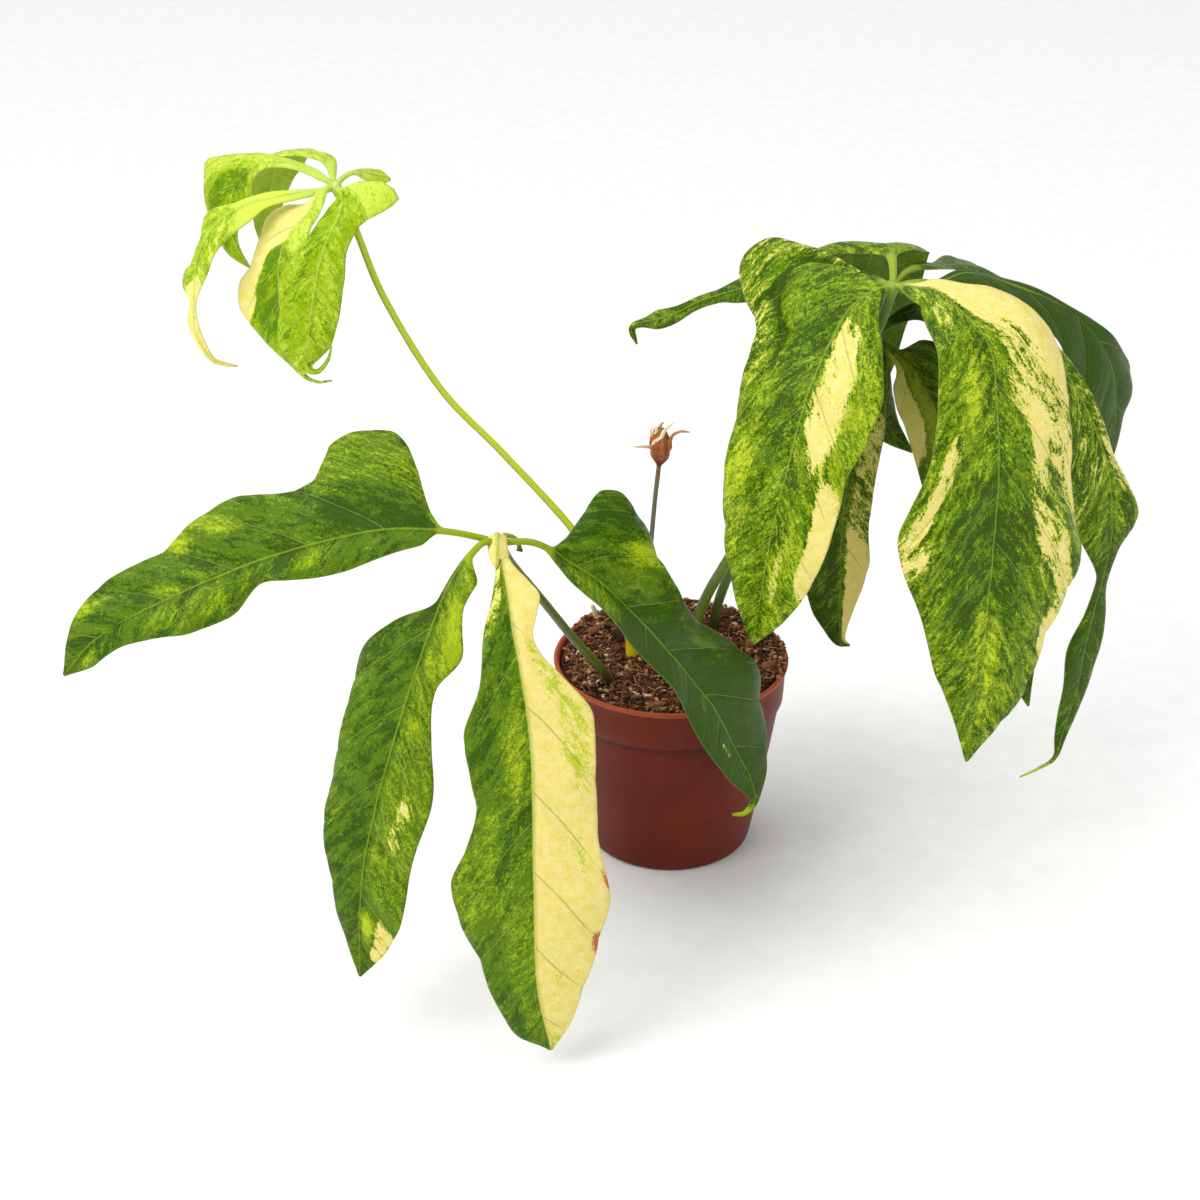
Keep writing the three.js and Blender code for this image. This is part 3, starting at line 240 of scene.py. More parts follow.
        left=[0, 1.2, .08, 1.6, .18, 4, .33, 8, .5, 15, .7, 16, .85, 10, .93, 6, 1, .6],
        right=[0, 1.2, .08, 1.6, .18, 8, .3, 14, .45, 20, .6, 21, .8, 14, .93, 6, 1, .6],
        bend=(.1, .2), wave=(1.8, 4, 2), lime=-.25,
        marks={}),
    "crown_leaflet_6": dict(
        rib=[CROWN_HUB, (105, 14, 318), (104, 34, 320.5), (101, 60, 307), (97, 84, 268),
            (92, 97, 214), (88, 101, 157)],
        faces=[(0, -.3, 1), (0, .3, .9), (-.1, .8, .5), (-.1, .95, .2)],
        left=[0, 1.6, .07, 2.5, .13, 16, .2, 25, .35, 29, .55, 28, .75, 20, .9, 9, 1, .6],
        right=[0, 1.6, .07, 2.5, .13, 20, .2, 36, .3, 38, .4, 31, .55, 28, .75, 20, .9, 9, 1, .6],
        bend=(.08, .2), wave=(1.8, 4, .2), lime=-.05,
        marks=dict(lime=[(.15, -.2, .15, -1.2, 1.2)])),
    "crown_leaflet_7": dict(
        rib=[CROWN_HUB, (85, 20, 311), (60, 38, 306), (36, 50, 292), (15, 58, 282), (1, 62, 273),
            (-10, 64, 269), (-19, 66, 266), (-21, 66, 262), (-18, 66, 255)],
        faces=[(-.1, -.1, 1), (-.2, -.5, .8), (-.2, -.7, .6)],
        left=[0, 1.6, .06, 5, .2, 8, .35, 10, .5, 10, .57, 7, .64, 3.5, .72, 3.5, .84, 5.5, .9, 2,
            .95, 1.4, 1, .4],
        right=[0, 1.6, .06, 6, .2, 13, .33, 15, .45, 11, .55, 8, .62, 4.5, .72, 3.8, .84, 5.6,
            .9, 2.8, .96, 2, 1, .4],
        bend=(.15, .25), wave=(.8, 3, 1), lime=-.25,
        marks=dict(cream=[(.45, .1, .5, -1, 1)], lime=[(.15, .6, 1.1, -1, 1)])),
    # The lower leaf lies under the crown leaf: its dark marks are painted shade
    "lower_leaflet_1": dict(
        rib=[LOWER_HUB, (104, 44, 258), (99, 36, 244), (94, 31, 218), (89, 24, 175), (89, 17, 131),
            (90, 12, 111), (95, 12, 106)],
        faces=[(-.1, -.5, .8), (-.2, -.9, .3), (-.2, -.9, .2)],
        left=[0, 1.5, .06, 7, .12, 12, .3, 19, .5, 21.5, .7, 22, .8, 19, .88, 15, .94, 8, 1, .5],
        right=[0, 1.5, .06, 6, .16, 11, .3, 14, .5, 14, .6, 13.5, .7, 15, .78, 12, .86, 7.5, .94, 3,
            1, .5],
        bend=(.12, .2), wave=(1.2, 4, .6), lime=.04,
        marks=dict(cream=[(.95, .15, .62, -1.2, -.25), (1.9, .6, 1.2, -1.2, -.25),
                (.45, .2, .9, -.3, .2)], dark=[(.6, .2, 1, .1, 1.1)])),
    "lower_leaflet_2": dict(
        rib=[LOWER_HUB, (113, 49, 257), (123, 45, 250), (134, 40, 232), (141, 34, 212),
            (156, 20, 178), (173, 8, 136), (190, 0, 76)],
        faces=[(.2, -.5, .8), (.2, -.8, .5), (.2, -.9, .25)],
        left=[0, 1.5, .05, 5, .1, 15, .18, 19, .3, 18, .5, 20, .7, 19, .88, 9, 1, .6],
        right=[0, 1.5, .04, 5, .07, 20, .12, 28, .2, 28, .32, 23, .5, 21, .7, 19, .88, 10, 1, .6],
        bend=(.14, .25), wave=(1.5, 4, 1.8), lime=0,
        marks=dict(cream=[(2, -.2, .24, .5, 1.3)], lime=[(.35, 0, .4, 0, .5)],
            dark=[(-.3, 0, .3, -1.2, 1.2)])),
    "lower_leaflet_3": dict(
        rib=[LOWER_HUB, (113, 62, 269), (128, 68, 273), (152, 72, 264), (186, 72, 226),
            (204, 66, 180), (210, 60, 145), (208, 57, 133)],
        faces=[(0, -.2, .95), (.3, -.5, .8), (.6, -.75, .3), (.6, -.8, .1)],
        left=[0, 1.5, .05, 4, .2, 11, .45, 16, .7, 13, .88, 7, 1, .6],
        right=[0, 1.5, .05, 4, .2, 9, .45, 13, .7, 11, .88, 6, 1, .6],
        bend=(.14, .25), wave=(1.4, 4, .2), lime=-.15,
        marks=dict(dark=[(.5, 0, 1, -1.2, 1.2)])),
    "lower_leaflet_4": dict(
        rib=[LOWER_HUB, (106, 66, 254), (107, 76, 236), (110, 82, 216), (118, 86, 199),
            (132, 87, 184)],
        faces=[(0, -.2, 1), (0, -.8, .5), (0, -.9, .3)],
        left=[0, 1.3, .12, 3, .35, 9, .6, 12, .85, 6, 1, .6],
        right=[0, 1.3, .12, 3, .35, 9, .6, 10, .85, 5, 1, .6],
        bend=(.12, .2), wave=(.8, 2, .2), lime=-.1,
        marks={}),
}


# Side veins: how far apart they leave the midrib, how far the right ones lag behind the left
# ones, and how they lean and hook towards the tip
VEIN_SHARE, VEIN_NEAREST, VEIN_FURTHEST = 0.16, 10.0, 38.0
VEIN_LAG = 0.42
VEIN_LEAN, VEIN_HOOK = 1.15, 0.005
MARGIN_CURL = 0.05
RIGHT_WAVE_SHIFT = 2.4
# How far apart the rows of a blade's grid lie, and its columns where it is widest, and the
# fewest and most of them, the columns in one half
ROW_STEP, FEWEST_ROWS, MOST_ROWS = 1.6, 40, 190
COLUMN_STEP, FEWEST_COLUMNS, MOST_COLUMNS = 1.7, 8, 28
# How softly a crease ends, how wide it is, and how wide the line of painted shade in it
CREASE_END, CREASE_WIDTH, CREASE_LINE = 0.06, 0.08, 0.035


def unit(a):
    return a / np.maximum(np.linalg.norm(a, axis=-1, keepdims=True), 1e-9)


def smooth_at(pairs, u):
    """Values at the shares u of a list (share, value, ...), smooth and with no overshoot."""
    x, y = np.array(pairs, float).reshape(-1, 2).T
    slope = np.diff(y) / np.diff(x)
    bend = np.empty(len(x))
    bend[0], bend[-1] = slope[0], slope[-1]
    before, after = slope[:-1], slope[1:]
    total = np.where(before * after > 0, before + after, 1)
    bend[1:-1] = np.where(before * after > 0, 2 * before * after / total, 0)
    i = np.clip(np.searchsorted(x, u) - 1, 0, len(x) - 2)
    span = x[i + 1] - x[i]
    t = np.clip((u - x[i]) / span, 0, 1)
    ends = y[i] * (2 * t**3 - 3 * t**2 + 1) + y[i + 1] * (3 * t**2 - 2 * t**3)
    return ends + span * (bend[i] * (t**3 - 2 * t**2 + t) + bend[i + 1] * (t**3 - t**2))


def evenly_at(values, u):
    """Values at the shares u of a list at equal steps."""
    a = np.array(values, float)
    place = np.clip(u, 0, 1) * (len(a) - 1)
    if a.ndim == 1:
        return np.interp(place, np.arange(len(a)), a)
    return np.stack([np.interp(place, np.arange(len(a)), c) for c in a.T], axis=-1)


def curve_table(points, steps=50):
    """A smooth curve through points, as close-set places and the length up to each."""
    p = np.array(points, float)
    held = np.vstack([2 * p[0] - p[1], p, 2 * p[-1] - p[-2]])
    t = np.linspace(0, 1, steps, endpoint=False)[:, None]
    spans = []
    for i in range(len(p) - 1):
        a, b, c, d = held[i : i + 4]
        leave, reach = (c - a) / 2, (d - b) / 2
        spans.append(b + leave * t + (3 * (c - b) - 2 * leave - reach) * t**2
                     + (2 * (b - c) + leave + reach) * t**3)
    line = np.vstack(spans + [p[-1:]])
    length = np.append(0, np.cumsum(np.linalg.norm(np.diff(line, axis=0), axis=1)))
    return line, length


def curve_at(table, s):
    line, length = table
    return np.stack([np.interp(s, length, c) for c in line.T], axis=-1)


def soften(rows, reach):
    """Rows averaged with their neighbours, with the ends kept."""
    kernel = np.hanning(2 * reach + 3)[1:-1]
    kernel /= kernel.sum()
    padded = np.pad(rows, ((reach, reach), (0, 0)), mode="edge")
    return np.stack([np.convolve(c, kernel, mode="valid") for c in padded.T], axis=-1)


def squared(facing, along):
    """Unit directions square to along that look as far as they can towards facing."""
    return unit(facing - along * np.sum(facing * along, axis=1, keepdims=True))


def across_rib(rib, left, up, side, lift):
    """A sheet of points, each as far to the left of the rib and above it as is given."""
    return rib[:, None] + left[:, None] * side[..., None] + up[:, None] * lift[..., None]


def crease_at(spec, u, v, width):
    """The crease of a blade, as 1 along its line and 0 away from it."""
    start, end, centre, _ = spec["crease"]
    window = np.clip(np.minimum(u - start, end - u) / CREASE_END, 0, 1)[:, None]
    return window * np.exp(-(((v - centre) / width) ** 2))[None, :]


def blade_grid(spec, start, inside):
    """The middle surface of a blade: its points and the coordinates painted on them."""
    table = curve_table(spec["rib"])
    total = table[1][-1]
    length = total - start
    rows = int(np.clip(length / ROW_STEP, FEWEST_ROWS, MOST_ROWS))
    widest = max(spec["left"][1::2] + spec["right"][1::2])
    half = int(np.clip(widest / COLUMN_STEP, FEWEST_COLUMNS, MOST_COLUMNS))
    u = np.linspace(-(start - inside) / length, 1, rows + 1)
    s = start + u * length
    rib = curve_at(table, s)
    along = unit(curve_at(table, s + 0.8) - curve_at(table, s - 0.8))
    along = unit(soften(along, 2))
    up = squared(soften(evenly_at(spec["faces"], u), 4), along)
    share = np.linspace(0, 1, half + 1)[1:]
    v = np.concatenate([-share[::-1], [-0.02, 0, 0.02], share])
    lefts, rights = smooth_at(spec["left"], u), smooth_at(spec["right"], u)
    width = np.where(v[None, :] > 0, lefts[:, None], rights[:, None])
    fold, droop = spec["bend"]
    high, count, phase = spec["wave"]
    onset = np.sin(np.pi * np.clip(u, 0, 1))[:, None] ** 0.5
    across = np.abs(v)[None, :]
    turn = 2 * np.pi * count * u[:, None] + phase
    turn = turn + np.where(v > 0, 0, RIGHT_WAVE_SHIFT)[None, :]
    ripple = high * onset * across**2 * np.minimum(1, width / 12) * np.sin(turn)
    lift = width * (fold * across - droop * across**2 - MARGIN_CURL * across**6) + ripple
    if "crease" in spec:
        lift = lift - spec["crease"][3] * crease_at(spec, u, v, CREASE_WIDTH)
    side = v[None, :] * width
    points = across_rib(rib, np.cross(along, up), up, side, lift)
    flow = s[:, None] - VEIN_LEAN * np.abs(side) - VEIN_HOOK * side**2
    return dict(points=points, u=u, v=v, s=s, side=side, width=width, flow=flow, total=total,
                lefts=lefts, rights=rights)


def grid_noise(points, size, seed, octaves=2):
    """Smooth noise at each point, from -1 to 1, with bumps of the given size."""
    flat = points.reshape(-1, 3) / size
    shift = Vector((seed * 7.31, seed * 3.77, seed * 5.13))
    values = [noise.fractal(Vector(p) + shift, 1.0, 2.0, octaves) for p in flat]
    return np.array(values).reshape(points.shape[:-1])


def new_piece(name, points, faces, attributes=None, material=None, smooth=True):
    """A mesh object from points in millimetres, with float attributes on its points."""
    mesh = bpy.data.meshes.new(name)
    mesh.from_pydata((np.asarray(points, float) * MM).tolist(), [], faces)
    for key, values in (attributes or {}).items():
        layer = mesh.attributes.new(key, "FLOAT", "POINT")
        layer.data.foreach_set("value", np.ascontiguousarray(values, np.float32).ravel())
    mesh.polygons.foreach_set("use_smooth", [smooth] * len(mesh.polygons))
    if material:
        mesh.materials.append(material)
    mesh.validate()
    piece = bpy.data.objects.new(name, mesh)
    bpy.context.scene.collection.objects.link(piece)
    return piece


def place(piece, slot, *nodes):
    """Ties a piece to the body and hides the solids that it stands for; slot, its finish, is not
    used.
    """
    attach(piece, "root")
    if nodes:
        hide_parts(*nodes)
    return piece


class Shader:
    """A node material, made through short calls that return sockets."""

    def __init__(self, name):
        self.material = bpy.data.materials.new(name)
        self.material.use_nodes = True
        self.tree = self.material.node_tree
        self.tree.nodes.clear()

    def node(self, kind, inputs=(), **settings):
        made = self.tree.nodes.new("ShaderNode" + kind)
        for key, value in settings.items():
            setattr(made, key, value)
        for key, value in dict(inputs).items():
            socket = made.inputs[key]
            if isinstance(value, bpy.types.NodeSocket):
                self.tree.links.new(value, socket)
            else:
                socket.default_value = value
        return made

    def attribute(self, name):
        return self.node("Attribute", attribute_name=name, attribute_type="GEOMETRY").outputs["Fac"]

    def math(self, operation, a, b=0.0, c=0.0):
        return self.node("Math", {0: a, 1: b, 2: c}, operation=operation).outputs[0]

    def add(self, *values):
        total = values[0]
        for value in values[1:]:
            total = self.math("ADD", total, value)
        return total

    def times(self, *values):
        total = values[0]
        for value in values[1:]:
            total = self.math("MULTIPLY", total, value)
        return total

    def vector(self, x, y, z=0.0):
        return self.node("CombineXYZ", {0: x, 1: y, 2: z}).outputs[0]

    def noise(self, vector, scale, detail=3.0, roughness=0.5, distortion=0.0):
        sockets = {"Vector": vector, "Scale": scale, "Detail": detail,
                   "Roughness": roughness, "Distortion": distortion}
        return self.node("TexNoise", sockets).outputs[0]

    def edges(self, vector, scale):
        """The distance to the edge of the nearest cell."""
        sockets = {"Vector": vector, "Scale": scale}
        return self.node("TexVoronoi", sockets, feature="DISTANCE_TO_EDGE").outputs["Distance"]

    def step(self, value, low, high, floor=0.0, top=1.0):
        """A smooth rise from floor to top as the value goes from low to high."""
        sockets = {"Value": value, "From Min": low, "From Max": high,
                   "To Min": floor, "To Max": top}
        return self.node("MapRange", sockets, interpolation_type="SMOOTHSTEP").outputs[0]

    def fall(self, value, low, high):
        return self.step(value, low, high, 1.0, 0.0)

    def mix(self, share, a, b, blend="MIX"):
        made = self.node("Mix", {0: share}, data_type="RGBA", blend_type=blend)
        for index, value in ((6, a), (7, b)):
            if isinstance(value, bpy.types.NodeSocket):
                self.tree.links.new(value, made.inputs[index])
            else:
                made.inputs[index].default_value = (*value, 1)
        return made.outputs[2]

    def ramp(self, value, stops):
        """A colour for a value, from a list of places and colours."""
        made = self.node("ValToRGB", {0: value})
        elements = made.color_ramp.elements
        for element, (position, colour) in ((elements[0], stops[0]), (elements[1], stops[-1])):
            element.position, element.color = position, (*colour, 1)
        for position, colour in stops[1:-1]:
            elements.new(position).color = (*colour, 1)
        return made.outputs[0]

    def bump(self, height, strength, distance):
        sockets = {"Height": height, "Strength": strength, "Distance": distance}
        return self.node("Bump", sockets).outputs[0]

    def finish(self, colour, roughness, normal=None, **fixed):
        surface = self.node("BsdfPrincipled", {"Base Color": colour, "Roughness": roughness})
        if normal is not None:
            self.tree.links.new(normal, surface.inputs["Normal"])
        for key, value in fixed.items():
            surface.inputs[key.replace("_", " ")].default_value = value
        output = self.node("OutputMaterial")
        self.tree.links.new(surface.outputs[0], output.inputs[0])
        return self.material


def leaf_material(name, deep, middle, bright, cream, under, stem, lively):
    """A variegated leaf: marbled greens, lime flecks, cream sectors and impressed veins, with
    painted shade in their grooves.
    """
    s = Shader(name)
    flow, along, side, lane, gap, edge, rib, below, stalk = (
        s.attribute(k)
        for k in ("flow", "along", "side", "lane", "gap", "edge", "rib", "under", "stalk"))
    cream_bias, lime_bias, dark_bias, burn_and_shade = (
        s.attribute(k) for k in ("cream", "lime", "dark", "burn_and_shade"))
    # Three ways to lay the noise: along the midrib, along the side veins, and in between
    plain = s.vector(along, side)
    drawn = s.vector(flow, s.times(side, 0.8))
    slanted = s.vector(s.times(s.add(flow, along), 0.5), side)
    broad = s.add(s.noise(drawn, 0.8, 3, 0.55, 0.4), -0.5)
    patches = s.add(s.noise(drawn, 1.6, 4, 0.66, 0.7), -0.5)
    streak = s.noise(slanted, 3.4, 4, 0.7, 0.9)
    fleck = s.noise(plain, 10.0, 3, 0.7, 0.6)
    grain = s.noise(plain, 32.0, 2, 0.6)
    mottle = s.add(s.times(streak, 1.7), s.times(fleck, 1.5), s.times(grain, 0.8), -2.0)
    mottle = s.times(mottle, lively)

    # Deep green to lime by value, then cream where paleness passes nought
    value = s.add(mottle, s.times(patches, 1.5 * lively), lime_bias, s.times(dark_bias, -0.45))
    green = s.mix(s.step(s.add(value, s.times(broad, 1.1)), -0.22, 0.02), deep, middle)
    lime = tuple(0.6 * m + 0.4 * b for m, b in zip(middle, bright))
    green = s.mix(s.step(value, 0.14, 0.22), green, lime)
    green = s.mix(s.step(value, 0.36, 0.43), green, bright)
    paleness = s.add(s.times(mottle, 0.85), s.times(patches, 1.9), s.times(broad, 0.5), cream_bias)
    green = s.mix(s.step(paleness, -0.34, -0.08, 0.0, 0.7), green, lime)
    green = s.mix(s.step(paleness, -0.14, -0.01, 0.0, 0.75), green, bright)
    creamy = s.step(paleness, -0.01, 0.06)
    rich = (cream[0] * 0.95, cream[1] * 0.93, cream[2] * 0.62)
    tint = s.mix(s.step(s.noise(plain, 2.2, 3), 0.35, 0.68), cream, rich)
    splash = s.step(s.add(mottle, s.times(patches, 0.8), lime_bias), 0.34, 0.5)
    tint = s.mix(s.times(splash, 0.9), tint, (0.42, 0.52, 0.006))
    colour = s.mix(creamy, green, tint)

    # The veins: off is the distance to the nearest side vein. Painted shade darkens a groove on one
    # side of each side vein, the fine net between them and a band beside the midrib.
    off = s.times(s.add(s.math("FRACT", lane), -0.5), gap)
    inner = s.step(edge, 1.0, 9.0)
    lateral = s.times(s.fall(s.math("ABSOLUTE", off), 0.0, 0.06), inner)
    groove_shade = s.times(s.fall(off, 0.02, 0.17), s.step(off, 0.0, 0.03), inner)
    off_minor = s.times(s.add(s.math("FRACT", s.times(lane, 4.0)), -0.5), s.times(gap, 0.25))
    minor = s.fall(s.math("ABSOLUTE", off_minor), 0.0, 0.035)
    net = s.fall(s.edges(plain, 4.0), 0.0, 0.08)
    vein_tone = s.mix(0.5, colour, tuple(0.5 * a + 0.5 * b for a, b in zip(bright, cream)))
    shade_tone = s.mix(1.0, colour, (0.38, 0.48, 0.3), "MULTIPLY")
    # Painted shade in the vein grooves and along the fine net
    colour = s.mix(s.times(groove_shade, 0.75), colour, shade_tone)
    colour = s.mix(s.times(lateral, 0.6), colour, vein_tone)
    colour = s.mix(s.times(minor, 0.12), colour, vein_tone)
    colour = s.mix(s.times(net, 0.1), colour, shade_tone)
    # Painted shade in a narrow band on one side of the midrib
    beside_midrib_shade = s.times(s.step(side, -0.22, -0.06), s.fall(side, -0.03, 0.0))
    colour = s.mix(s.times(beside_midrib_shade, 0.4), colour, shade_tone)
    midrib = s.fall(rib, 0.4, 0.9)
    colour = s.mix(s.times(midrib, 0.5), colour, stem)
    margin = s.fall(edge, 0.1, 0.6)
    colour = s.mix(s.times(margin, 0.3), colour, tuple(0.5 * a for a in cream))
    # Brown marks: burnt margins, and painted shade along the creases of the base fold
    scorch_and_shade = s.step(s.add(burn_and_shade, s.times(fleck, 0.6), -0.3), 0.3, 0.55)
    colour = s.mix(scorch_and_shade, colour, (0.5, 0.15, 0.04))
    colour = s.mix(below, colour, s.mix(0.55, colour, under))
    colour = s.mix(s.times(stalk, 0.85), colour, stem)

    pucker = s.noise(plain, 2.6, 2, 0.5)
    height = s.add(s.times(lateral, -0.6), s.times(minor, -0.2), s.times(net, -0.25),
                   s.times(fleck, 0.25), s.times(pucker, 1.2))
    normal = s.bump(height, 0.45, 0.0009)
    rough = s.add(s.times(fleck, 0.2), s.times(creamy, 0.06), s.times(below, 0.2), 0.26)
    return s.finish(colour, rough, normal, Subsurface_Weight=0.08, Subsurface_Scale=0.0015,
                    Subsurface_Radius=(0.6, 1.0, 0.1), Specular_IOR_Level=0.2,
                    Specular_Tint=(0.85, 1, 0.5, 1))


# name: deep, middle and bright green, cream, the paler underside, the stalklet, and how
# strong the fine marbling is
PALETTES = {
    "young": ((0.11, 0.24, 0.0), (0.28, 0.44, 0.001), (0.62, 0.78, 0.08),
              (0.86, 0.76, 0.27), (0.42, 0.58, 0.05), (0.5, 0.66, 0.1), 0.7),
    "front": ((0.028, 0.078, 0.002), (0.086, 0.18, 0.004), (0.4, 0.52, 0.012),
              (0.8, 0.68, 0.25), (0.13, 0.24, 0.04), (0.28, 0.38, 0.012), 0.62),
    "crown": ((0.028, 0.08, 0.0005), (0.115, 0.225, 0.001), (0.5, 0.6, 0.025),
              (0.86, 0.74, 0.28), (0.17, 0.3, 0.04), (0.3, 0.42, 0.04), 1.0),
    # The lower leaf lies under the crown leaf: its greens, darker than the crown leaf's, are
    # painted shade
    "lower": ((0.022, 0.056, 0.003), (0.082, 0.145, 0.005), (0.3, 0.35, 0.02),
              (0.7, 0.58, 0.2), (0.1, 0.18, 0.03), (0.16, 0.22, 0.02), 1.0),
}
# The finish of each leaflet
SLOTS = {name: name.split("_")[0] + "_blade" for name in LEAFLETS}
SLOTS["front_leaflet_3"] = "cream_blade"


def paint(spec, grid):
    """The strengths of cream, lime, dark and brown marks at each point of a blade; the brown ones
    are burnt margins, and painted shade along the base fold's creases.
    """
    share = grid["flow"] / grid["total"]
    across = np.broadcast_to(grid["v"][None, :], share.shape)
    fields = {"cream": np.full(share.shape, spec.get("cream", -1.0)),
              "lime": np.full(share.shape, spec.get("lime", 0.0)),
              "dark": np.zeros(share.shape),
              "burn_and_shade": np.zeros(share.shape)}

    def ramp(value, low, high, soft):
        """1 from low to high with soft ends, or a sharp end where it lies on the midrib."""
        soft_low, soft_high = (0.02 if end == 0 else soft for end in (low, high))
        rise = np.clip((value - low) / soft_low + 0.5, 0, 1)
        return rise * np.clip((high - value) / soft_high + 0.5, 0, 1)

    for kind, marks in spec["marks"].items():
        for strength, f0, f1, v0, v1 in marks:
            inside = ramp(share, f0, f1, min(0.07, 0.8 * (f1 - f0)))
            inside *= ramp(across, v0, v1, min(0.22, 0.8 * (v1 - v0)))
            fields[kind] = fields[kind] + strength * inside
    return fields


def sheet_faces(rows, columns):
    """The faces of a thin closed sheet: its upper grid of points, its lower one, its rim."""
    index = np.arange(rows * columns).reshape(rows, columns)
    a, b, c, d = index[:-1, :-1], index[:-1, 1:], index[1:, 1:], index[1:, :-1]
    count = rows * columns
    faces = np.stack([a, b, c, d], -1).reshape(-1, 4)
    rim = np.concatenate([index[0, :], index[1:, -1], index[-1, -2::-1], index[-2:0:-1, 0]])
    after = np.roll(rim, -1)
    band = np.stack([after, rim, rim + count, after + count], -1)
    return np.vstack([faces, faces[:, ::-1] + count, band]).tolist()


def normals_of(points):
    return unit(np.cross(np.gradient(points, axis=1), np.gradient(points, axis=0)))


# Thicknesses: the blade at its middle, how much thinner it is at the margin, the round
# stalklet, and the midrib's keel above and below with its half width
BLADE_THICK, MARGIN_THINNER, STALKLET_THICK = 0.62, 0.3, 2.7
KEEL_ABOVE, KEEL_BELOW, KEEL_WIDTH = 0.12, 0.8, 1.1
# Keeps the pattern of each leaflet apart from the next one's
PATTERN_SHIFT = 15


def blade_piece(name, spec, start, inside, material, seed):
    """A leaflet with a round stalklet, a keeled midrib and quilting between its veins."""
    grid = blade_grid(spec, start, inside)
    points, u, v, side, width = (grid[k] for k in ("points", "u", "v", "side", "width"))
    rows, columns = points.shape[:2]
    flow = grid["flow"] + 2.0 * grid_noise(points, 26.0, seed + 80, 1)
    gap = np.clip(VEIN_SHARE * grid["total"], VEIN_NEAREST, VEIN_FURTHEST)
    lane = flow / gap + np.where(v < 0, VEIN_LAG, 0)[None, :]
    room = np.clip((width - 5) / 14, 0, 1) * np.clip(u * 8, 0, 1)[:, None]
    swell = np.abs(np.sin(np.pi * (lane + 0.5))) ** 0.5 - 0.7
    small = np.abs(np.sin(np.pi * (4 * lane + 0.5))) ** 0.7 - 0.6
    dents = grid_noise(points, 30.0, seed)
    fine = grid_noise(points, 9.0, seed + 40, 1)
    centre = 1 - np.exp(-((side / 5) ** 2))
    relief = room * (centre * (0.045 * gap * swell + 0.15 * small) + 1.4 * dents + 0.4 * fine)

    points = points + normals_of(points) * relief[..., None]
    normal = normals_of(points)

    narrow = np.minimum(grid["lefts"], grid["rights"])
    stalk = np.clip((7 - narrow) / 4, 0, 1) * np.clip(1 - u, 0, 1) ** 2
    round_part = STALKLET_THICK * stalk[:, None] * np.sqrt(np.clip(1 - v[None, :] ** 2, 0, 1))
    sheet = BLADE_THICK - MARGIN_THINNER * np.abs(v)[None, :] ** 3
    thick = np.maximum(sheet, round_part)
    keel = np.exp(-((side / KEEL_WIDTH) ** 2)) * (1 - 0.75 * np.clip(u, 0, 1))[:, None]
    top = points + normal * (thick / 2 + KEEL_ABOVE * keel)[..., None]
    bottom = points - normal * (thick / 2 + KEEL_BELOW * keel)[..., None]

    count = rows * columns
    fields = paint(spec, grid)
    # A line of painted shade along the crease, added to the dark marks
    if "crease" in spec:
        fields["dark"] = fields["dark"] + 2 * crease_at(spec, u, v, CREASE_LINE)
    ribs = 0.95 - 0.6 * np.clip(u, 0, 1)[:, None]
    fields["rib"] = np.minimum(np.abs(side) / ribs, 6)
    broadness = (grid["lefts"] + grid["rights"]) / 2
    fields["stalk"] = np.broadcast_to(np.clip((4.0 - broadness) / 1.6, 0, 1)[:, None]
                                      * np.clip(1.6 - 2 * u, 0, 1)[:, None], side.shape)
    # The pattern's coordinates are in centimetres
    fields["flow"] = flow / 10 + seed * PATTERN_SHIFT
    fields["along"] = np.broadcast_to(grid["s"][:, None], side.shape) / 10 + seed * PATTERN_SHIFT
    fields["lane"] = lane + 10
    fields["gap"] = np.full(side.shape, gap / 10)
    fields["edge"] = (1 - np.abs(v)[None, :]) * width
    fields["side"] = side / 10
    doubled = {k: np.concatenate([f.ravel(), f.ravel()]) for k, f in fields.items()}
    doubled["under"] = np.concatenate([np.zeros(count), np.ones(count)])
    return new_piece(name + "_blade", np.vstack([top.reshape(-1, 3), bottom.reshape(-1, 3)]),
                     sheet_faces(rows, columns), doubled, material)


leaf_materials = {k: leaf_material(k + "_leaf", *p) for k, p in PALETTES.items()}
for number, (leaflet, spec) in enumerate(LEAFLETS.items()):
    leaf = leaflet.split("_")[0]
    blade = blade_piece(leaflet, spec, KNOBS[leaf] + 0.3, 1.0, leaf_materials[leaf], number + 1)
    place(blade, SLOTS[leaflet], leaflet)

# The crumpled cream base of the third front leaflet, folded over the hub
BASE_FOLD = dict(
    rib=[(-83, -131, 242.8), (-83, -137.5, 240.4), (-83, -143, 237.2), (-83.2, -147, 234)],
    faces=[(0, -0.6, 0.8), (0, -0.75, 0.6)],
    left=[0, 4.4, 0.5, 3.8, 0.85, 2, 1, 0.5],
    right=[0, 4.2, 0.4, 4.8, 0.68, 5.6, 0.76, 2.2, 1, 0.5],
    bend=(-0.45, 0.1), wave=(1.2, 2, 0.6), lime=-0.5, cream=1.6,
    # Its brown marks are painted shade along its creases
    marks=dict(burn_and_shade=[(0.5, 0.62, 0.8, -1.2, -0.4), (0.35, 0.85, 1.1, -1, 1)]))
fold = blade_piece("front_base_fold", BASE_FOLD, 0, 0, leaf_materials["front"], 41)
place(fold, "cream_blade")

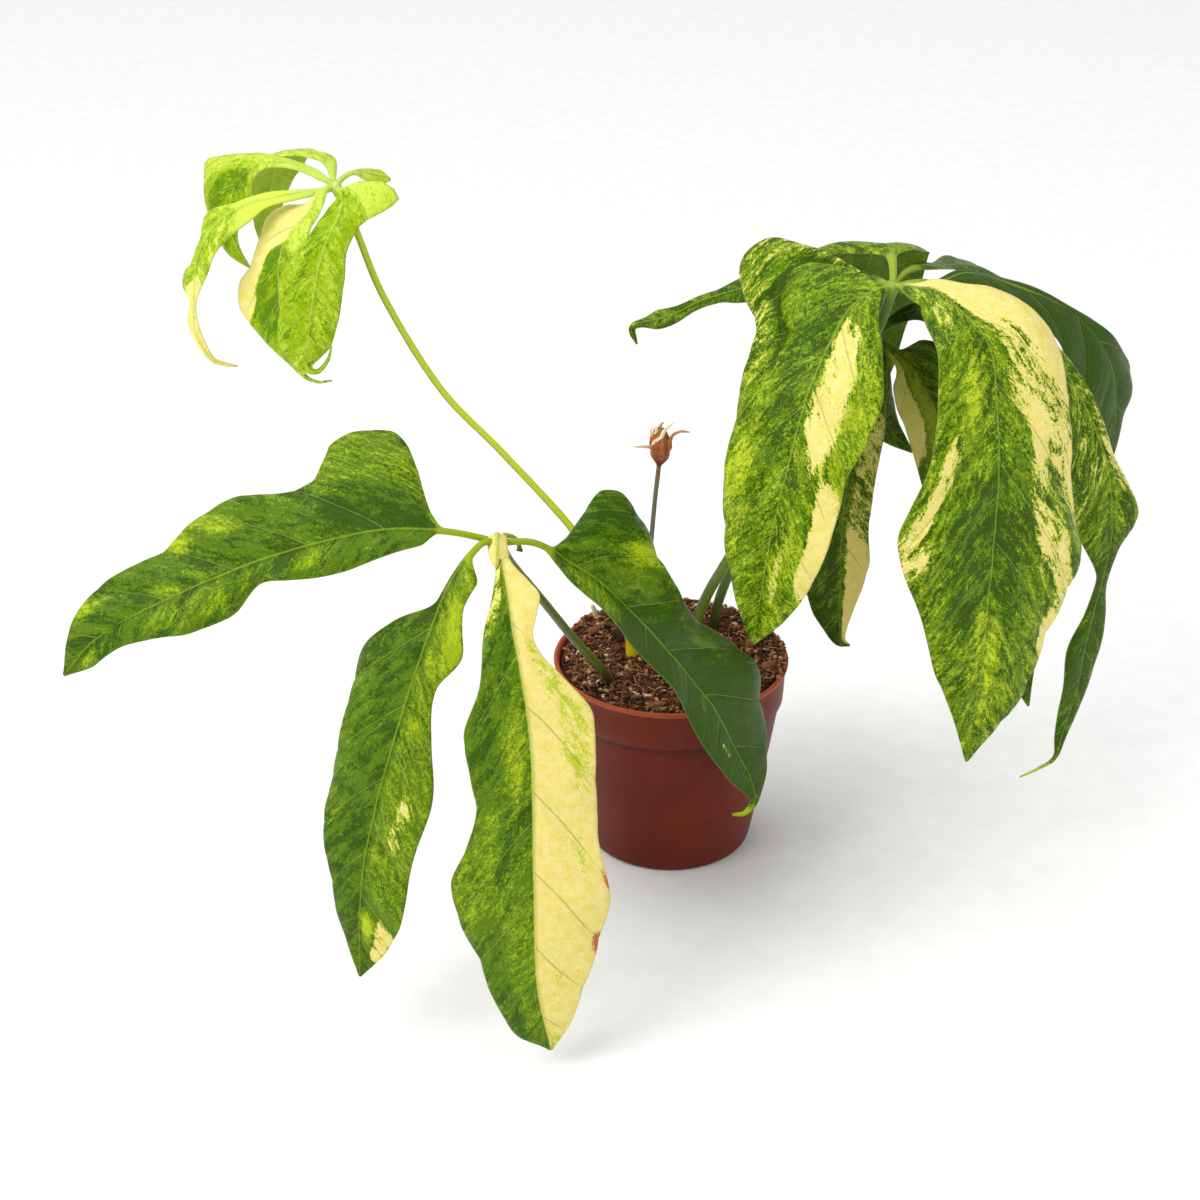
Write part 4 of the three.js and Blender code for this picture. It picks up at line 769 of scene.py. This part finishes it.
# Stalks: the path from under the soil to the hub, the radii along it, the hub's radius, the
# finish, and the colours of the sunny side, the shaded side, the foot and the hub
STALKS = {
    "young_leaf_petiole": (
        [(-18, 6, 75), (-20, 4, 103), (-22, 3, 119), (-33.5, 1, 147), (-51.7, 0, 181),
         (-86, 4, 221), (-116.2, 8, 254), (-142.5, 12, 300), (-155.5, 14, 336), YOUNG_HUB],
        [3.9, 3.2, 2, 1.8, 1.7, 1.7, 1.7, 1.7], 4, "young_stalk",
        (0.52, 0.62, 0.006), (0.12, 0.15, 0.012), (0.8, 0.7, 0.004), (0.5, 0.66, 0.14)),
    "front_leaf_petiole": (
        [(-28, -12, 75), (-32, -21, 103), (-50, -50, 144), (-66, -82, 185),
         (-78, -112, 218.5), FRONT_HUB],
        [2.9, 2.4, 2.2, 2.1, 2.1, 2.2], 4.2, "front_stalk",
        (0.13, 0.19, 0.02), (0.022, 0.024, 0.012), (0.1, 0.13, 0.02), (0.3, 0.4, 0.012)),
    "crown_leaf_petiole": (
        [(10, 22, 75), (12, 22, 103), (17, 20, 126), (27, 15, 151), (50, 10, 196),
         (78, 6, 246), (97, 3, 284), CROWN_HUB],
        [3.2, 2.8, 2.6, 2.5, 2.5, 2.6], 4.6, "crown_stalk",
        (0.17, 0.27, 0.02), (0.05, 0.08, 0.012), (0.12, 0.16, 0.02), (0.3, 0.42, 0.03)),
    "lower_leaf_petiole": (
        [(23, 30, 75), (23, 29, 103), (28, 29, 131), (46, 35, 172), (70, 43, 212),
         (93, 51, 246), LOWER_HUB],
        [2.9, 2.6, 2.4, 2.3, 2.3], 4.5, "lower_stalk",
        (0.09, 0.16, 0.02), (0.03, 0.042, 0.012), (0.07, 0.09, 0.02), (0.12, 0.18, 0.02)),
    "bud_stalk": (
        [(-14, 13, 75), (-14, 12, 103), (-12, 10, 150), (-9.5, 7, 190), (-7.5, 5, 214)],
        [1.8, 1.4, 1.3, 1.2, 1.2], 0, "bud_stalk",
        (0.16, 0.16, 0.08), (0.06, 0.045, 0.03), (0.09, 0.06, 0.03), (0.2, 0.08, 0.04)),
}


def ring_faces(rows, sides, turned=False, ends="flat"):
    """The faces of rings of points joined one to the next, closed flat or by two end points."""
    index = np.arange(rows * sides).reshape(rows, sides)
    after = np.roll(index, -1, axis=1)
    corners = [index[:-1], after[:-1], after[1:], index[1:]]
    faces = np.stack(corners[::-1] if turned else corners, -1).reshape(-1, 4).tolist()
    if ends == "flat":
        return faces + [index[0][::-1].tolist(), index[-1].tolist()]
    order = 1 if turned else -1
    for k in range(sides):
        faces.append([rows * sides] + [index[0][k], after[0][k]][::order])
        faces.append([rows * sides + 1] + [index[-1][k], after[-1][k]][::-order])
    return faces


def joined(parts):
    """One mesh from many closed parts: the points, the faces and the tone on each point."""
    points, faces, tones, count = [], [], [], 0
    for more, more_faces, tone in parts:
        points.append(more)
        faces += [[count + k for k in face] for face in more_faces]
        tones.append(np.full(len(more), tone))
        count += len(more)
    return np.vstack(points), faces, np.concatenate(tones)


def tube(path, radius_at, rows, sides, seed, rough=0.04):
    """A closed round tube along a path: points, faces, share along and outward directions."""
    table = curve_table(path)
    s = np.linspace(0, table[1][-1], rows)
    middle = curve_at(table, s)
    along = unit(np.gradient(middle, axis=0))
    ref = np.zeros_like(along)
    ref[0] = unit(np.cross(along[0], (0.3, 1, 0.2)))
    for i in range(1, rows):
        ref[i] = unit(ref[i - 1] - along[i] * np.dot(ref[i - 1], along[i]))
    other = np.cross(along, ref)
    angle = np.linspace(0, 2 * np.pi, sides, endpoint=False)
    round_ = (ref[:, None] * np.cos(angle)[None, :, None]
              + other[:, None] * np.sin(angle)[None, :, None])
    radius = radius_at(s / s[-1], s, s[-1] - s)
    ring = middle[:, None] + round_ * radius[:, None, None]
    bumps = 1 + rough * grid_noise(ring, 6.0, seed)
    ring = middle[:, None] + round_ * (radius[:, None] * bumps)[..., None]
    share = np.repeat(s / s[-1], sides)
    return ring.reshape(-1, 3), ring_faces(rows, sides), share, round_.reshape(-1, 3)


def stalk_material(name, sunny, shaded, foot, hub):
    """A stalk with fine lines and pale spots, lighter on its sunny side."""
    s = Shader(name)
    lit, far, turn = s.attribute("lit"), s.attribute("far"), s.attribute("round")
    lines = s.noise(s.vector(s.times(turn, 3.0), s.times(far, 3.0)), 4.0, 4, 0.6)
    spots = s.noise(s.vector(turn, s.times(far, 9.0)), 5.0, 3, 0.6)
    blend = s.step(s.add(lit, s.times(lines, 0.6), -0.3), 0.2, 0.75)
    colour = s.mix(blend, shaded, sunny)
    colour = s.mix(s.step(spots, 0.6, 0.7, 0.0, 0.35), colour,
                   tuple(min(1, c * 1.9) for c in sunny))
    low = s.step(s.add(s.attribute("low"), s.times(lines, 0.3)), 0.35, 0.85)
    colour = s.mix(low, colour, foot)
    colour = s.mix(s.attribute("tip"), colour, hub)
    normal = s.bump(lines, 0.25, 0.0004)
    rough = s.add(s.times(spots, 0.2), 0.28)
    return s.finish(colour, rough, normal, Subsurface_Weight=0.08, Subsurface_Scale=0.001)


SUN_SIDE = unit(np.array([0.75, -0.45, 0.5]))
# Below this height a stalk takes on the colour of its foot
FOOT_TOP = 121
# How far down the stalk its hub swells, and how far its top is rounded
KNOB_REACH, KNOB_ROUNDING = 7.0, 3.0

for number, (stalk, (path, radii, knob, slot, *tones)) in enumerate(STALKS.items()):
    def radius_at(share, s, left, radii=radii, knob=knob):
        radius = evenly_at(radii, share)
        if knob:
            swell = np.exp(-((left / KNOB_REACH) ** 2))
            radius = radius + (knob * 0.85 - radii[-1]) * swell
            radius = radius * np.sqrt(np.clip((left + 0.4) / KNOB_ROUNDING, 0, 1))
        return radius
    end = np.array(path[-1], float)
    toward = unit(end - np.array(path[-2], float))
    longer = list(path[:-1]) + [tuple(end), tuple(end + toward * 2.2)] if knob else path
    points, faces, share, outward = tube(longer, radius_at, 150, 20, 60 + number)
    lit = outward @ SUN_SIDE * 0.5 + 0.5
    data = {"lit": lit, "far": share * 20, "round": np.arctan2(outward[:, 2], outward[:, 0]),
            "low": np.clip((FOOT_TOP - points[:, 2]) / 12, 0, 1),
            "tip": np.exp(-((np.linalg.norm(points - end, axis=1) / 8) ** 2))}
    piece = new_piece(stalk + "_skin", points, faces, data,
                      stalk_material(stalk + "_green", *tones))
    place(piece, slot, stalk)

# The withered bud, measured from the top of its stalk. Its body is a list (height, radius,
# ...). Its dried husks are a path, half widths, how far they are cupped, and their tone.
BUD_FOOT = (-7.5, 5, 213.6)
BUD_BODY = [0, 1.25, 1.6, 1.5, 3.5, 2.6, 6, 3.9, 9, 4.8, 12, 5.1, 15, 4.7, 18, 3.9, 20.2, 2.6,
            21, 0.6]
BUD_HEIGHT, BUD_RIBS = 21, 9
HUSK_ROWS, HUSK_COLUMNS, HUSK_THICK = 26, 9, 0.42
BUD_HUSKS = [
    ([(1, -1, 1.2), (3.4, -2, 6), (5, -2.2, 10.5), (5.6, -2, 14), (7.7, -1.7, 17.9),
      (11.6, -1.4, 19.4), (15.3, -1.2, 19)], [1.2, 3.2, 3.6, 2.2, 1.2, 0.9, 0.2], 0.5, 0.5),
    ([(-4.4, -2.8, 11.6), (-8, -3.4, 12), (-13.5, -4, 12.2)], [1, 0.6, 0.15], 0.2, 0.72),
    ([(-3.8, -3.5, 11.5), (-3.1, -4.6, 14.5), (1, -4.4, 17.6), (2.7, -3.6, 20.8),
      (7.4, -2.8, 25.3)], [0.5, 0.9, 1, 0.9, 0.25], 0.3, 0.92),
    ([(-4.4, -1.5, 17), (-4.2, -2.2, 20.5), (-2.6, -3, 22.2), (-1.6, -3.4, 20.6),
      (-2.6, -3.6, 19)], [1.1, 1.4, 1.2, 0.9, 0.4], 0.7, 0.86),
    ([(0.5, 2, 18), (1.2, 2.6, 21.4), (2.6, 3.2, 22.6)], [1.6, 1.2, 0.3], 0.4, 0.62),
    ([(-0.7, -1.4, 1.4), (-2.6, -4, 7), (-2.4, -5, 13), (-1, -3.4, 18.4)],
     [0.5, 2.2, 2.2, 0.5], 0.5, 0.34),
    ([(0.7, -1.4, 1.6), (1.9, -4.1, 7), (1.4, -5.1, 13), (0.6, -3, 19.6)],
     [0.5, 2, 2, 0.4], 0.5, 0.42),
]


def husk(path, halves, cup):
    """A dried husk: a thin closed strip, cupped round the bud, as points and faces."""
    table = curve_table(path)
    s = np.linspace(0, table[1][-1], HUSK_ROWS)
    middle = curve_at(table, s)
    along = unit(np.gradient(middle, axis=0))
    up = squared(middle * (0.35, 0.35, 0) + (0, -1, 0.25), along)
    widths = np.interp(s / s[-1], np.linspace(0, 1, len(halves)), halves)[:, None]
    v = np.linspace(-1, 1, HUSK_COLUMNS)[None, :]
    lift = -cup * widths * v**2 + 0.16 * widths * np.sin(5 * v + 0.9 * s[:, None])
    sheet = across_rib(middle, np.cross(along, up), up, widths * v, lift)
    shift = up[:, None] * (HUSK_THICK / 2 * (1 - 0.6 * v**2))[..., None]
    points = np.vstack([(sheet + shift).reshape(-1, 3), (sheet - shift).reshape(-1, 3)])
    return points, sheet_faces(HUSK_ROWS, HUSK_COLUMNS)


def bud_piece():
    """The ribbed body of the bud with its husks, and what its material reads off them."""
    def radius_at(share, s, left):
        return smooth_at(BUD_BODY, s)
    path = [(0, 0, 0), (0.4, 0, 7), (0.2, 0, 14), (-0.4, 0, 21)]
    points, faces, share, outward = tube(path, radius_at, 46, 44, 71, 0.05)
    angle = np.arctan2(outward[:, 1], outward[:, 0])
    ribs = 0.075 * np.cos(BUD_RIBS * angle + 2 * share) * smooth_at(BUD_BODY, share * BUD_HEIGHT)
    points = points + outward * ribs[:, None]
    parts = [(points, faces, 0.3)]
    parts += [(*husk(line, halves, cup), tone) for line, halves, cup, tone in BUD_HUSKS]
    body = len(points)
    points, faces, tones = joined(parts)
    strips = np.tile(np.linspace(-2, 2, HUSK_COLUMNS), (len(points) - body) // HUSK_COLUMNS)
    data = {"tone": tones, "far": points[:, 2] / BUD_HEIGHT,
            "round": np.concatenate([np.sin(BUD_RIBS * angle), strips])}
    return points + BUD_FOOT, faces, data


def bud_material():
    """Papery dried husk: dark at the foot, red-brown on the body, tan to cream at the tips."""
    s = Shader("dried_husk")
    tone, far, turn = s.attribute("tone"), s.attribute("far"), s.attribute("round")
    lines = s.noise(s.vector(s.times(turn, 2.2), s.times(far, 1.2)), 3.0, 4, 0.65)
    blots = s.noise(s.node("TexCoord").outputs["Object"], 420.0, 4, 0.65)
    shade = s.add(tone, s.times(lines, 0.5), s.times(blots, 0.5), -0.5,
                  s.times(s.step(far, 0.55, 1.0), 0.12), s.times(s.step(far, 0.3, 0.0), -0.25))
    colour = s.ramp(shade, [(0.0, (0.09, 0.02, 0.009)), (0.3, (0.34, 0.085, 0.024)),
                            (0.5, (0.52, 0.19, 0.06)), (0.72, (0.72, 0.45, 0.24)),
                            (1.0, (0.95, 0.82, 0.56))])
    normal = s.bump(s.add(lines, s.times(blots, 0.5)), 0.6, 0.0005)
    return s.finish(colour, 0.6, normal, Specular_IOR_Level=0.3)


points, faces, data = bud_piece()
dried = bud_material()
place(new_piece("withered_bud_husks", points, faces, data, dried), "dry_bud", "withered_bud")
points, faces, share, outward = tube([(-38.5, 40, 103), (-39.6, 39.6, 110), (-41.5, 39, 116)],
                                     lambda share, s, left: 1.7 - 0.6 * share, 24, 14, 77, 0.16)
data = {"tone": 0.45 + 0.5 * share, "far": 0.4 + 0.6 * share, "round": outward[:, 0] * 3}
place(new_piece("dried_stub", points, faces, data, dried), "dry_bud")

# The pot: radius and height of its outline, from the floor up and down again inside
POT_OUTLINE = [
    (0, 2.2), (36, 2.2), (38.6, 0.3), (40.4, 0), (42.4, 0.2), (43.6, 1.4), (44.4, 4), (48, 24),
    (51.7, 46), (55.2, 68), (57.4, 82.6), (57.7, 84.2), (58.6, 84.6), (59.2, 85.6),
    (59.6, 92), (59.9, 100), (60.0, 103.6), (60.5, 104.3), (61.2, 104.8), (61.4, 105.7),
    (61.1, 106.6), (60.4, 107), (59.6, 106.8), (59, 106.1), (58.3, 104.5), (58.0, 100),
    (57.7, 88), (57.1, 85.8), (55.8, 84), (52, 62), (46, 26), (42.8, 4.6), (41, 2.8),
    (36, 2.6), (0, 2.6),
]
POT_SIDES = 144
POT_HEIGHT = 107


def pot_piece():
    """The outline turned round the axis, very slightly out of round towards the top."""
    outline = np.array(POT_OUTLINE, float)
    fine = [outline[0]]
    for a, b in zip(outline[:-1], outline[1:]):
        steps = max(1, int(np.linalg.norm(b - a) / 5))
        fine += [a + (b - a) * (k + 1) / steps for k in range(steps)]
    outline = np.array(fine)
    angle = np.linspace(0, 2 * np.pi, POT_SIDES, endpoint=False)
    ring = outline[1:-1]
    r, z = ring[:, 0][:, None], ring[:, 1][:, None]
    wobble = 1 + 0.0025 * np.sin(2 * angle + 0.6) * (z / POT_HEIGHT)
    x, y = r * wobble * np.cos(angle), r * wobble * np.sin(angle)
    points = np.stack([x, y, np.broadcast_to(z, x.shape)], -1).reshape(-1, 3)
    points = np.vstack([points, [[0, 0, outline[0][1]], [0, 0, outline[-1][1]]]])
    return points, ring_faces(len(ring), POT_SIDES, ends="points")


def pot_material():
    """Matt terracotta plastic: clouded, dusty, scuffed, with painted highlight streaks, a painted
    lighter collar, painted shade under the ledge, a painted highlight on the lip and painted light
    on the inner wall.
    """
    s = Shader("terracotta_plastic")
    spot = s.node("TexCoord").outputs["Object"]
    split = s.node("SeparateXYZ", {0: spot})
    z = split.outputs[2]
    cloud = s.noise(spot, 22.0, 4, 0.55)
    grain = s.noise(spot, 900.0, 3, 0.6)
    stretched = s.node("Mapping", {"Vector": spot, "Scale": (1, 1, 0.12)}).outputs[0]
    drag_and_highlight = s.noise(stretched, 160.0, 4, 0.6)
    colour = s.mix(s.step(cloud, 0.35, 0.68), (0.112, 0.0115, 0.003), (0.148, 0.0165, 0.005))
    # Painted highlight in soft vertical streaks, from the same noise as the drag marks' relief
    colour = s.mix(s.step(drag_and_highlight, 0.5, 0.75, 0.0, 0.3), colour, (0.17, 0.026, 0.009))
    # The collar above the ledge is painted lighter, as painted light
    colour = s.mix(s.step(z, 0.083, 0.0865, 0.0, 0.35), colour, (0.17, 0.024, 0.009))
    # Painted shade in a band under the collar's ledge
    ledge = s.times(s.step(z, 0.0785, 0.0832), s.fall(z, 0.0836, 0.0848))
    colour = s.mix(s.times(ledge, 0.6), colour, (0.045, 0.005, 0.002))
    # Painted highlight along the lip
    lip = s.step(s.add(z, s.times(cloud, 0.001)), 0.1045, 0.1058)
    colour = s.mix(s.times(lip, 0.85), colour, (0.46, 0.09, 0.032))
    # Painted light on the inner wall above the soil
    reach = s.node("VectorMath", {0: s.vector(split.outputs[0], split.outputs[1])},
                   operation="LENGTH").outputs["Value"]
    inner = s.times(s.step(reach, 0.0584, 0.0592, 0.8, 0.0), s.step(z, 0.09, 0.095))
    colour = s.mix(inner, colour, (0.32, 0.06, 0.022))
    dust = s.step(s.noise(spot, 260.0, 5, 0.7), 0.62, 0.74, 0.0, 0.25)
    colour = s.mix(dust, colour, (0.3, 0.1, 0.05))
    scuff = s.step(s.noise(stretched, 60.0, 5, 0.7), 0.6, 0.7, 0.0, 0.25)
    colour = s.mix(scuff, colour, (0.07, 0.012, 0.006))
    normal = s.bump(s.add(s.times(grain, 0.5), s.times(drag_and_highlight, 0.3)), 0.15, 0.0003)
    rough = s.add(s.times(cloud, 0.16), s.times(dust, 0.3), 0.36)
    return s.finish(colour, rough, normal, Specular_IOR_Level=0.16)


points, faces = pot_piece()
place(new_piece("pot_shell", points, faces, None, pot_material()), "pot_plastic", "pot")

# The soil: a lumpy bed of coir under loose fibres and chips
SOIL_TOP_RADIUS = 57.4
SOIL_EDGE, SOIL_HEAP, BACK_RISE, RIGHT_RISE = 102.8, 3.5, 6, 3.5
LIP_TOP, CRUMB_TOP = 107.0, 108.4
# Where the stalks stand, and the clear space round each
STALK_FEET = [(-20, 4, 5.0), (-32, -21, 3.6), (12, 22, 4.2), (23, 29, 4.0), (-14, 12, 2.6)]

# Larger clods: the two ends, the radii between them, how flat they lie and their tone
CLODS = [
    ((-19.5, -23.5), (-3.5, -29), [1.8, 4.2, 4.4, 3.6, 1.4], 0.3, 0.16),
    ((-31.5, 18), (-22, 20.5), [2.2, 4.8, 5, 2.6], 0.75, 0.04),
    ((-45, -8), (-38, -2), [1.2, 2.8, 2.6, 1.2], 0.6, 0.36),
    ((30, -30), (38, -24), [1.2, 3, 3, 1.2], 0.6, 0.3),
    ((40, 8), (47, 15), [1.4, 3.6, 3.4, 1.4], 0.8, 0.46),
    ((26, 42), (35, 38), [1.4, 3.4, 3.2, 1.4], 0.8, 0.22),
    ((-12, -44), (-4, -46), [1, 2.4, 2.2, 1], 0.6, 0.5),
    ((2, 44), (11, 47), [1.4, 3.2, 3.2, 1.2], 0.8, 0.3),
    ((-44, 24), (-37, 29), [1.2, 3, 2.8, 1.2], 0.8, 0.42),
    ((48, -8), (50, -15), [1.2, 2.8, 2.6, 1], 0.8, 0.5),
]


def soil_height(x, y):
    """The smooth height of the soil, heaped in the middle and towards the back and right."""
    r = np.hypot(x, y) / SOIL_TOP_RADIUS
    back = y / np.maximum(np.hypot(x, y), 1e-6)
    heap = SOIL_HEAP * (1 - r**2) * (0.7 + 0.5 * back)
    rise = r**2 * (BACK_RISE * np.clip(back, 0, 1) ** 0.8 + RIGHT_RISE * np.clip(x / 57, 0, 1))
    return SOIL_EDGE + heap + rise


def soil_bed(seed=5, rings=52, sides=150):
    """The lumpy top of the soil with a skirt that goes down inside the pot."""
    radius = np.linspace(0, 1, rings + 1)[1:] * SOIL_TOP_RADIUS
    angle = np.linspace(0, 2 * np.pi, sides, endpoint=False)
    x = radius[:, None] * np.cos(angle)
    y = radius[:, None] * np.sin(angle)
    z = soil_height(x, y)
    flat = np.stack([x, y, np.zeros_like(x)], -1)
    z = z + 2.0 * grid_noise(flat, 7.0, seed, 3) + 1.0 * grid_noise(flat, 2.4, seed + 1, 2)
    top = np.stack([x, y, z], -1)
    skirt = [top[-1] * (share, share, 0) + (0, 0, height)
             for share, height in ((0.995, 96), (0.9, 60), (0.73, 4))]
    shell = np.concatenate([top, np.stack(skirt)], 0)
    points = np.vstack([shell.reshape(-1, 3), [[0, 0, float(z[0].mean())], [0, 0, 4]]])
    return points, ring_faces(len(shell), sides, turned=True, ends="points")


def soil_material():
    """Dark crumbly coir."""
    s = Shader("coir_bed")
    spot = s.node("TexCoord").outputs["Object"]
    crumbs = s.noise(spot, 420.0, 6, 0.7)
    clumps = s.noise(spot, 130.0, 4, 0.6)
    colour = s.mix(s.step(crumbs, 0.4, 0.62), (0.012, 0.005, 0.003), (0.12, 0.045, 0.018))
    colour = s.mix(s.step(clumps, 0.5, 0.7, 0.0, 0.6), colour, (0.05, 0.02, 0.012))
    normal = s.bump(s.add(crumbs, clumps), 0.9, 0.0012)
    return s.finish(colour, 0.92, normal, Specular_IOR_Level=0.15)


def chip_material():
    """Loose coir and bark, from nearly black to straw by the tone of each bit."""
    s = Shader("coir_fibre")
    lines = s.noise(s.node("TexCoord").outputs["Object"], 700.0, 4, 0.6)
    colour = s.ramp(s.attribute("tone"), [
        (0.0, (0.02, 0.008, 0.004)), (0.25, (0.1, 0.038, 0.016)), (0.5, (0.27, 0.098, 0.036)),
        (0.75, (0.48, 0.22, 0.095)), (1.0, (0.78, 0.54, 0.3))])
    colour = s.mix(s.step(lines, 0.4, 0.7, 0.0, 0.4), colour, (0.06, 0.022, 0.01))
    normal = s.bump(lines, 0.5, 0.0003)
    return s.finish(colour, 0.85, normal, Specular_IOR_Level=0.2)


def between(low, high, share):
    return low + (high - low) * share


def clear_spot(rng, reach, gap=0.0, arc=None):
    """A random place on the soil, or in an arc of the lip, that is clear of the stalks."""
    while True:
        r = reach * math.sqrt(rng.random())
        a = rng.random() * 2 * math.pi
        if arc:
            r = between(arc[2], arc[3], rng.random())
            a = math.radians(between(arc[0], arc[1], rng.random()))
        x, y = r * math.cos(a), r * math.sin(a)
        if all(math.hypot(x - fx, y - fy) >= room + gap for fx, fy, room in STALK_FEET):
            return x, y


def tone_of(rng, tone):
    return min(1, max(0, rng.gauss(*tone)))


def strands(count, rng, reach, thick, lift, tone=(0.4, 0.26), sides=3, rows=5):
    """Loose curled fibres lying on the soil, each a closed thin tube."""
    faces, parts = ring_faces(rows, sides), []
    limit = SOIL_TOP_RADIUS * 0.995
    for _ in range(count):
        x, y = clear_spot(rng, SOIL_TOP_RADIUS * 0.985)
        heading = rng.random() * 2 * math.pi
        length = between(*reach, rng.random() ** 2)
        turn = (rng.random() - 0.5) * 2.4
        tilt = (rng.random() - 0.35) * 0.8
        radius = between(*thick, rng.random() ** 2)
        px, py = x - length / 2 * math.cos(heading), y - length / 2 * math.sin(heading)
        base_z = between(*lift, rng.random())
        line = []
        for k in range(rows):
            share = k / (rows - 1)
            h = heading + turn * (share - 0.5)
            px += length / rows * math.cos(h)
            py += length / rows * math.sin(h)
            far = math.hypot(px, py)
            if far > limit:
                px, py = px * limit / far, py * limit / far
            z = float(soil_height(np.float64(px), np.float64(py))) + base_z
            z += tilt * length * (share - 0.3) * 0.5 + math.sin(share * 3.1) * length * 0.05
            line.append((px, py, z))
        line = np.array(line)
        along = unit(np.gradient(line, axis=0))
        ref = unit(np.cross(along, (0.1, 0.2, 1)))
        other = np.cross(along, ref)
        ring = []
        for k in range(rows):
            taper = radius * (0.45 if k in (0, rows - 1) else 1.0)
            for q in range(sides):
                w = 2 * math.pi * q / sides
                out = ref[k] * math.cos(w) + 0.7 * other[k] * math.sin(w)
                ring.append(line[k] + taper * out)
        parts.append((np.array(ring), faces, tone_of(rng, tone)))
    return joined(parts)


def chips(count, rng, size, tone=(0.38, 0.36), arc=None):
    """Angular crumbs of bark and coir pith on the soil, or along an arc of the pot's lip."""
    corners = np.array([(-1, -1, -1), (1, -1, -1), (1, 1, -1), (-1, 1, -1),
                        (-1, -1, 1), (1, -1, 1), (1, 1, 1), (-1, 1, 1)], float)
    faces = [(0, 3, 2, 1), (4, 5, 6, 7), (0, 1, 5, 4), (1, 2, 6, 5), (2, 3, 7, 6), (3, 0, 4, 7)]
    parts = []
    for _ in range(count):
        x, y = clear_spot(rng, SOIL_TOP_RADIUS * 0.96, 0.6, arc)
        scale = between(*size, rng.random() ** 3)
        spin, lean = rng.random() * 6.28, (rng.random() - 0.5) * 1.2
        stretch = np.array([1.0 + rng.random(), 0.55 + 0.4 * rng.random(),
                            0.3 + 0.35 * rng.random()])
        rough = np.array([[1 - 0.45 * rng.random() for _ in range(3)] for _ in range(8)])
        body = corners * rough * stretch * scale * 0.5
        cs, sn = math.cos(lean), math.sin(lean)
        body = body @ np.array([(cs, 0, sn), (0, 1, 0), (-sn, 0, cs)])
        cs, sn = math.cos(spin), math.sin(spin)
        body = body @ np.array([(cs, sn, 0), (-sn, cs, 0), (0, 0, 1)])
        z = float(soil_height(np.float64(x), np.float64(y))) + scale * 0.15 + rng.random() * 0.8
        if arc:
            z = max(min(z, CRUMB_TOP), LIP_TOP + scale * 0.2)
        parts.append((body + (x, y, z), faces, tone_of(rng, tone)))
    return joined(parts)


def clods():
    """Lumps of coir and bark half sunk in the soil."""
    parts = []
    for number, (start, end, radii, flat, tone) in enumerate(CLODS):
        middle = (np.array(start) + np.array(end)) / 2
        z = float(soil_height(middle[0], middle[1])) + flat * max(radii) * 0.35
        path = [(*start, 0), (*middle, 0.4), (*end, 0)]
        points, faces, _, _ = tube(path, lambda share, s, left: evenly_at(radii, share),
                                   22, 20, 90 + number, 0.5)
        parts.append((points * (1, 1, flat) + (0, 0, z), faces, tone))
    return joined(parts)


def loose_piece(name, points, faces, tones, smooth=True):
    place(new_piece(name, points, faces, {"tone": tones}, loose_coir, smooth), "potting_mix")


points, faces = soil_bed()
place(new_piece("soil_bed", points, faces, None, soil_material()), "potting_mix", "soil")
loose_coir = chip_material()
random_soil = random.Random(7)
# The piece, what makes it and how many, their sizes, and for the crumbs on the lip the arc
# in degrees and the two radii between which they lie
for name, make, count, *ranges in (
        ("coir_fibres", strands, 5600, (2, 9), (0.13, 0.36), (-0.4, 1.8)),
        ("coir_straws", strands, 150, (6, 16), (0.2, 0.5), (0.6, 2.6), (0.68, 0.18)),
        ("coir_chips", chips, 3600, (0.8, 3.4)),
        ("lip_crumbs", chips, 420, (0.8, 3.0), (0.45, 0.26), (-25, 150, 56.5, 60.6))):
    loose_piece(name, *make(count, random_soil, *ranges), smooth=make is strands)
loose_piece("bark_clods", *clods())

# The floor, the lights and the camera
FLOOR_HALF = 7.0 / MM
FLOOR_CORNERS = [(x * FLOOR_HALF, y * FLOOR_HALF, 0)
                 for x, y in ((-1, -1), (1, -1), (1, 1), (-1, 1))]
shade = Shader("pale_floor")
where = shade.node("TexCoord").outputs["Object"]
paper = shade.noise(where, 60.0, 3)
floor_colour = shade.mix(shade.step(paper, 0.3, 0.7), (0.9, 0.9, 0.89), (0.93, 0.93, 0.92))
floor_material = shade.finish(floor_colour, 0.9, None, Specular_IOR_Level=0.1)
floor = new_piece("floor", FLOOR_CORNERS, [[0, 1, 2, 3]], None, floor_material)

PLANT_MIDDLE = Vector((0, 0, 0.2))


def light(name, kind, energy, **settings):
    data = bpy.data.lights.new(name, kind)
    data.energy = energy
    for key, value in settings.items():
        setattr(data, key, value)
    lamp = bpy.data.objects.new(name, data)
    bpy.context.scene.collection.objects.link(lamp)
    return lamp


def area_light(name, spot, size, power, tint):
    lamp = light(name, "AREA", power, shape="DISK", size=size, color=tint)
    lamp.location = spot
    lamp.rotation_mode = "QUATERNION"
    lamp.rotation_quaternion = (PLANT_MIDDLE - Vector(spot)).to_track_quat("-Z", "Y")


area_light("key", (-1.3, -1.0, 1.5), 1.3, 26, (1, 0.98, 0.95))
sky = light("sky", "SUN", 1.7, angle=math.radians(70))
sky.rotation_euler = (math.radians(-14), math.radians(-8), 0)
area_light("fill", (1.5, -1.1, 1.0), 1.4, 9, (0.98, 0.99, 1))
world = bpy.data.worlds.new("studio")
world.use_nodes = True
background = world.node_tree.nodes["Background"].inputs
background["Color"].default_value = (1, 1, 1, 1)
background["Strength"].default_value = 0.4
bpy.context.scene.world = world
bpy.context.scene.view_settings.view_transform = "Standard"

# The camera was fitted to the photograph: degrees above the horizon, lens in millimetres
VIEW_ELEVATION, LENS = 28, 68.7
camera_data = bpy.data.cameras.new("camera")
camera_data.lens, camera_data.sensor_width = LENS, 36
camera = bpy.data.objects.new("camera", camera_data)
camera.location = (-0.0372, -1.0460, 0.6958)
camera.rotation_euler = (math.radians(90 - VIEW_ELEVATION), 0, 0)
bpy.context.scene.collection.objects.link(camera)
bpy.context.scene.camera = camera

bpy.context.view_layer.update()
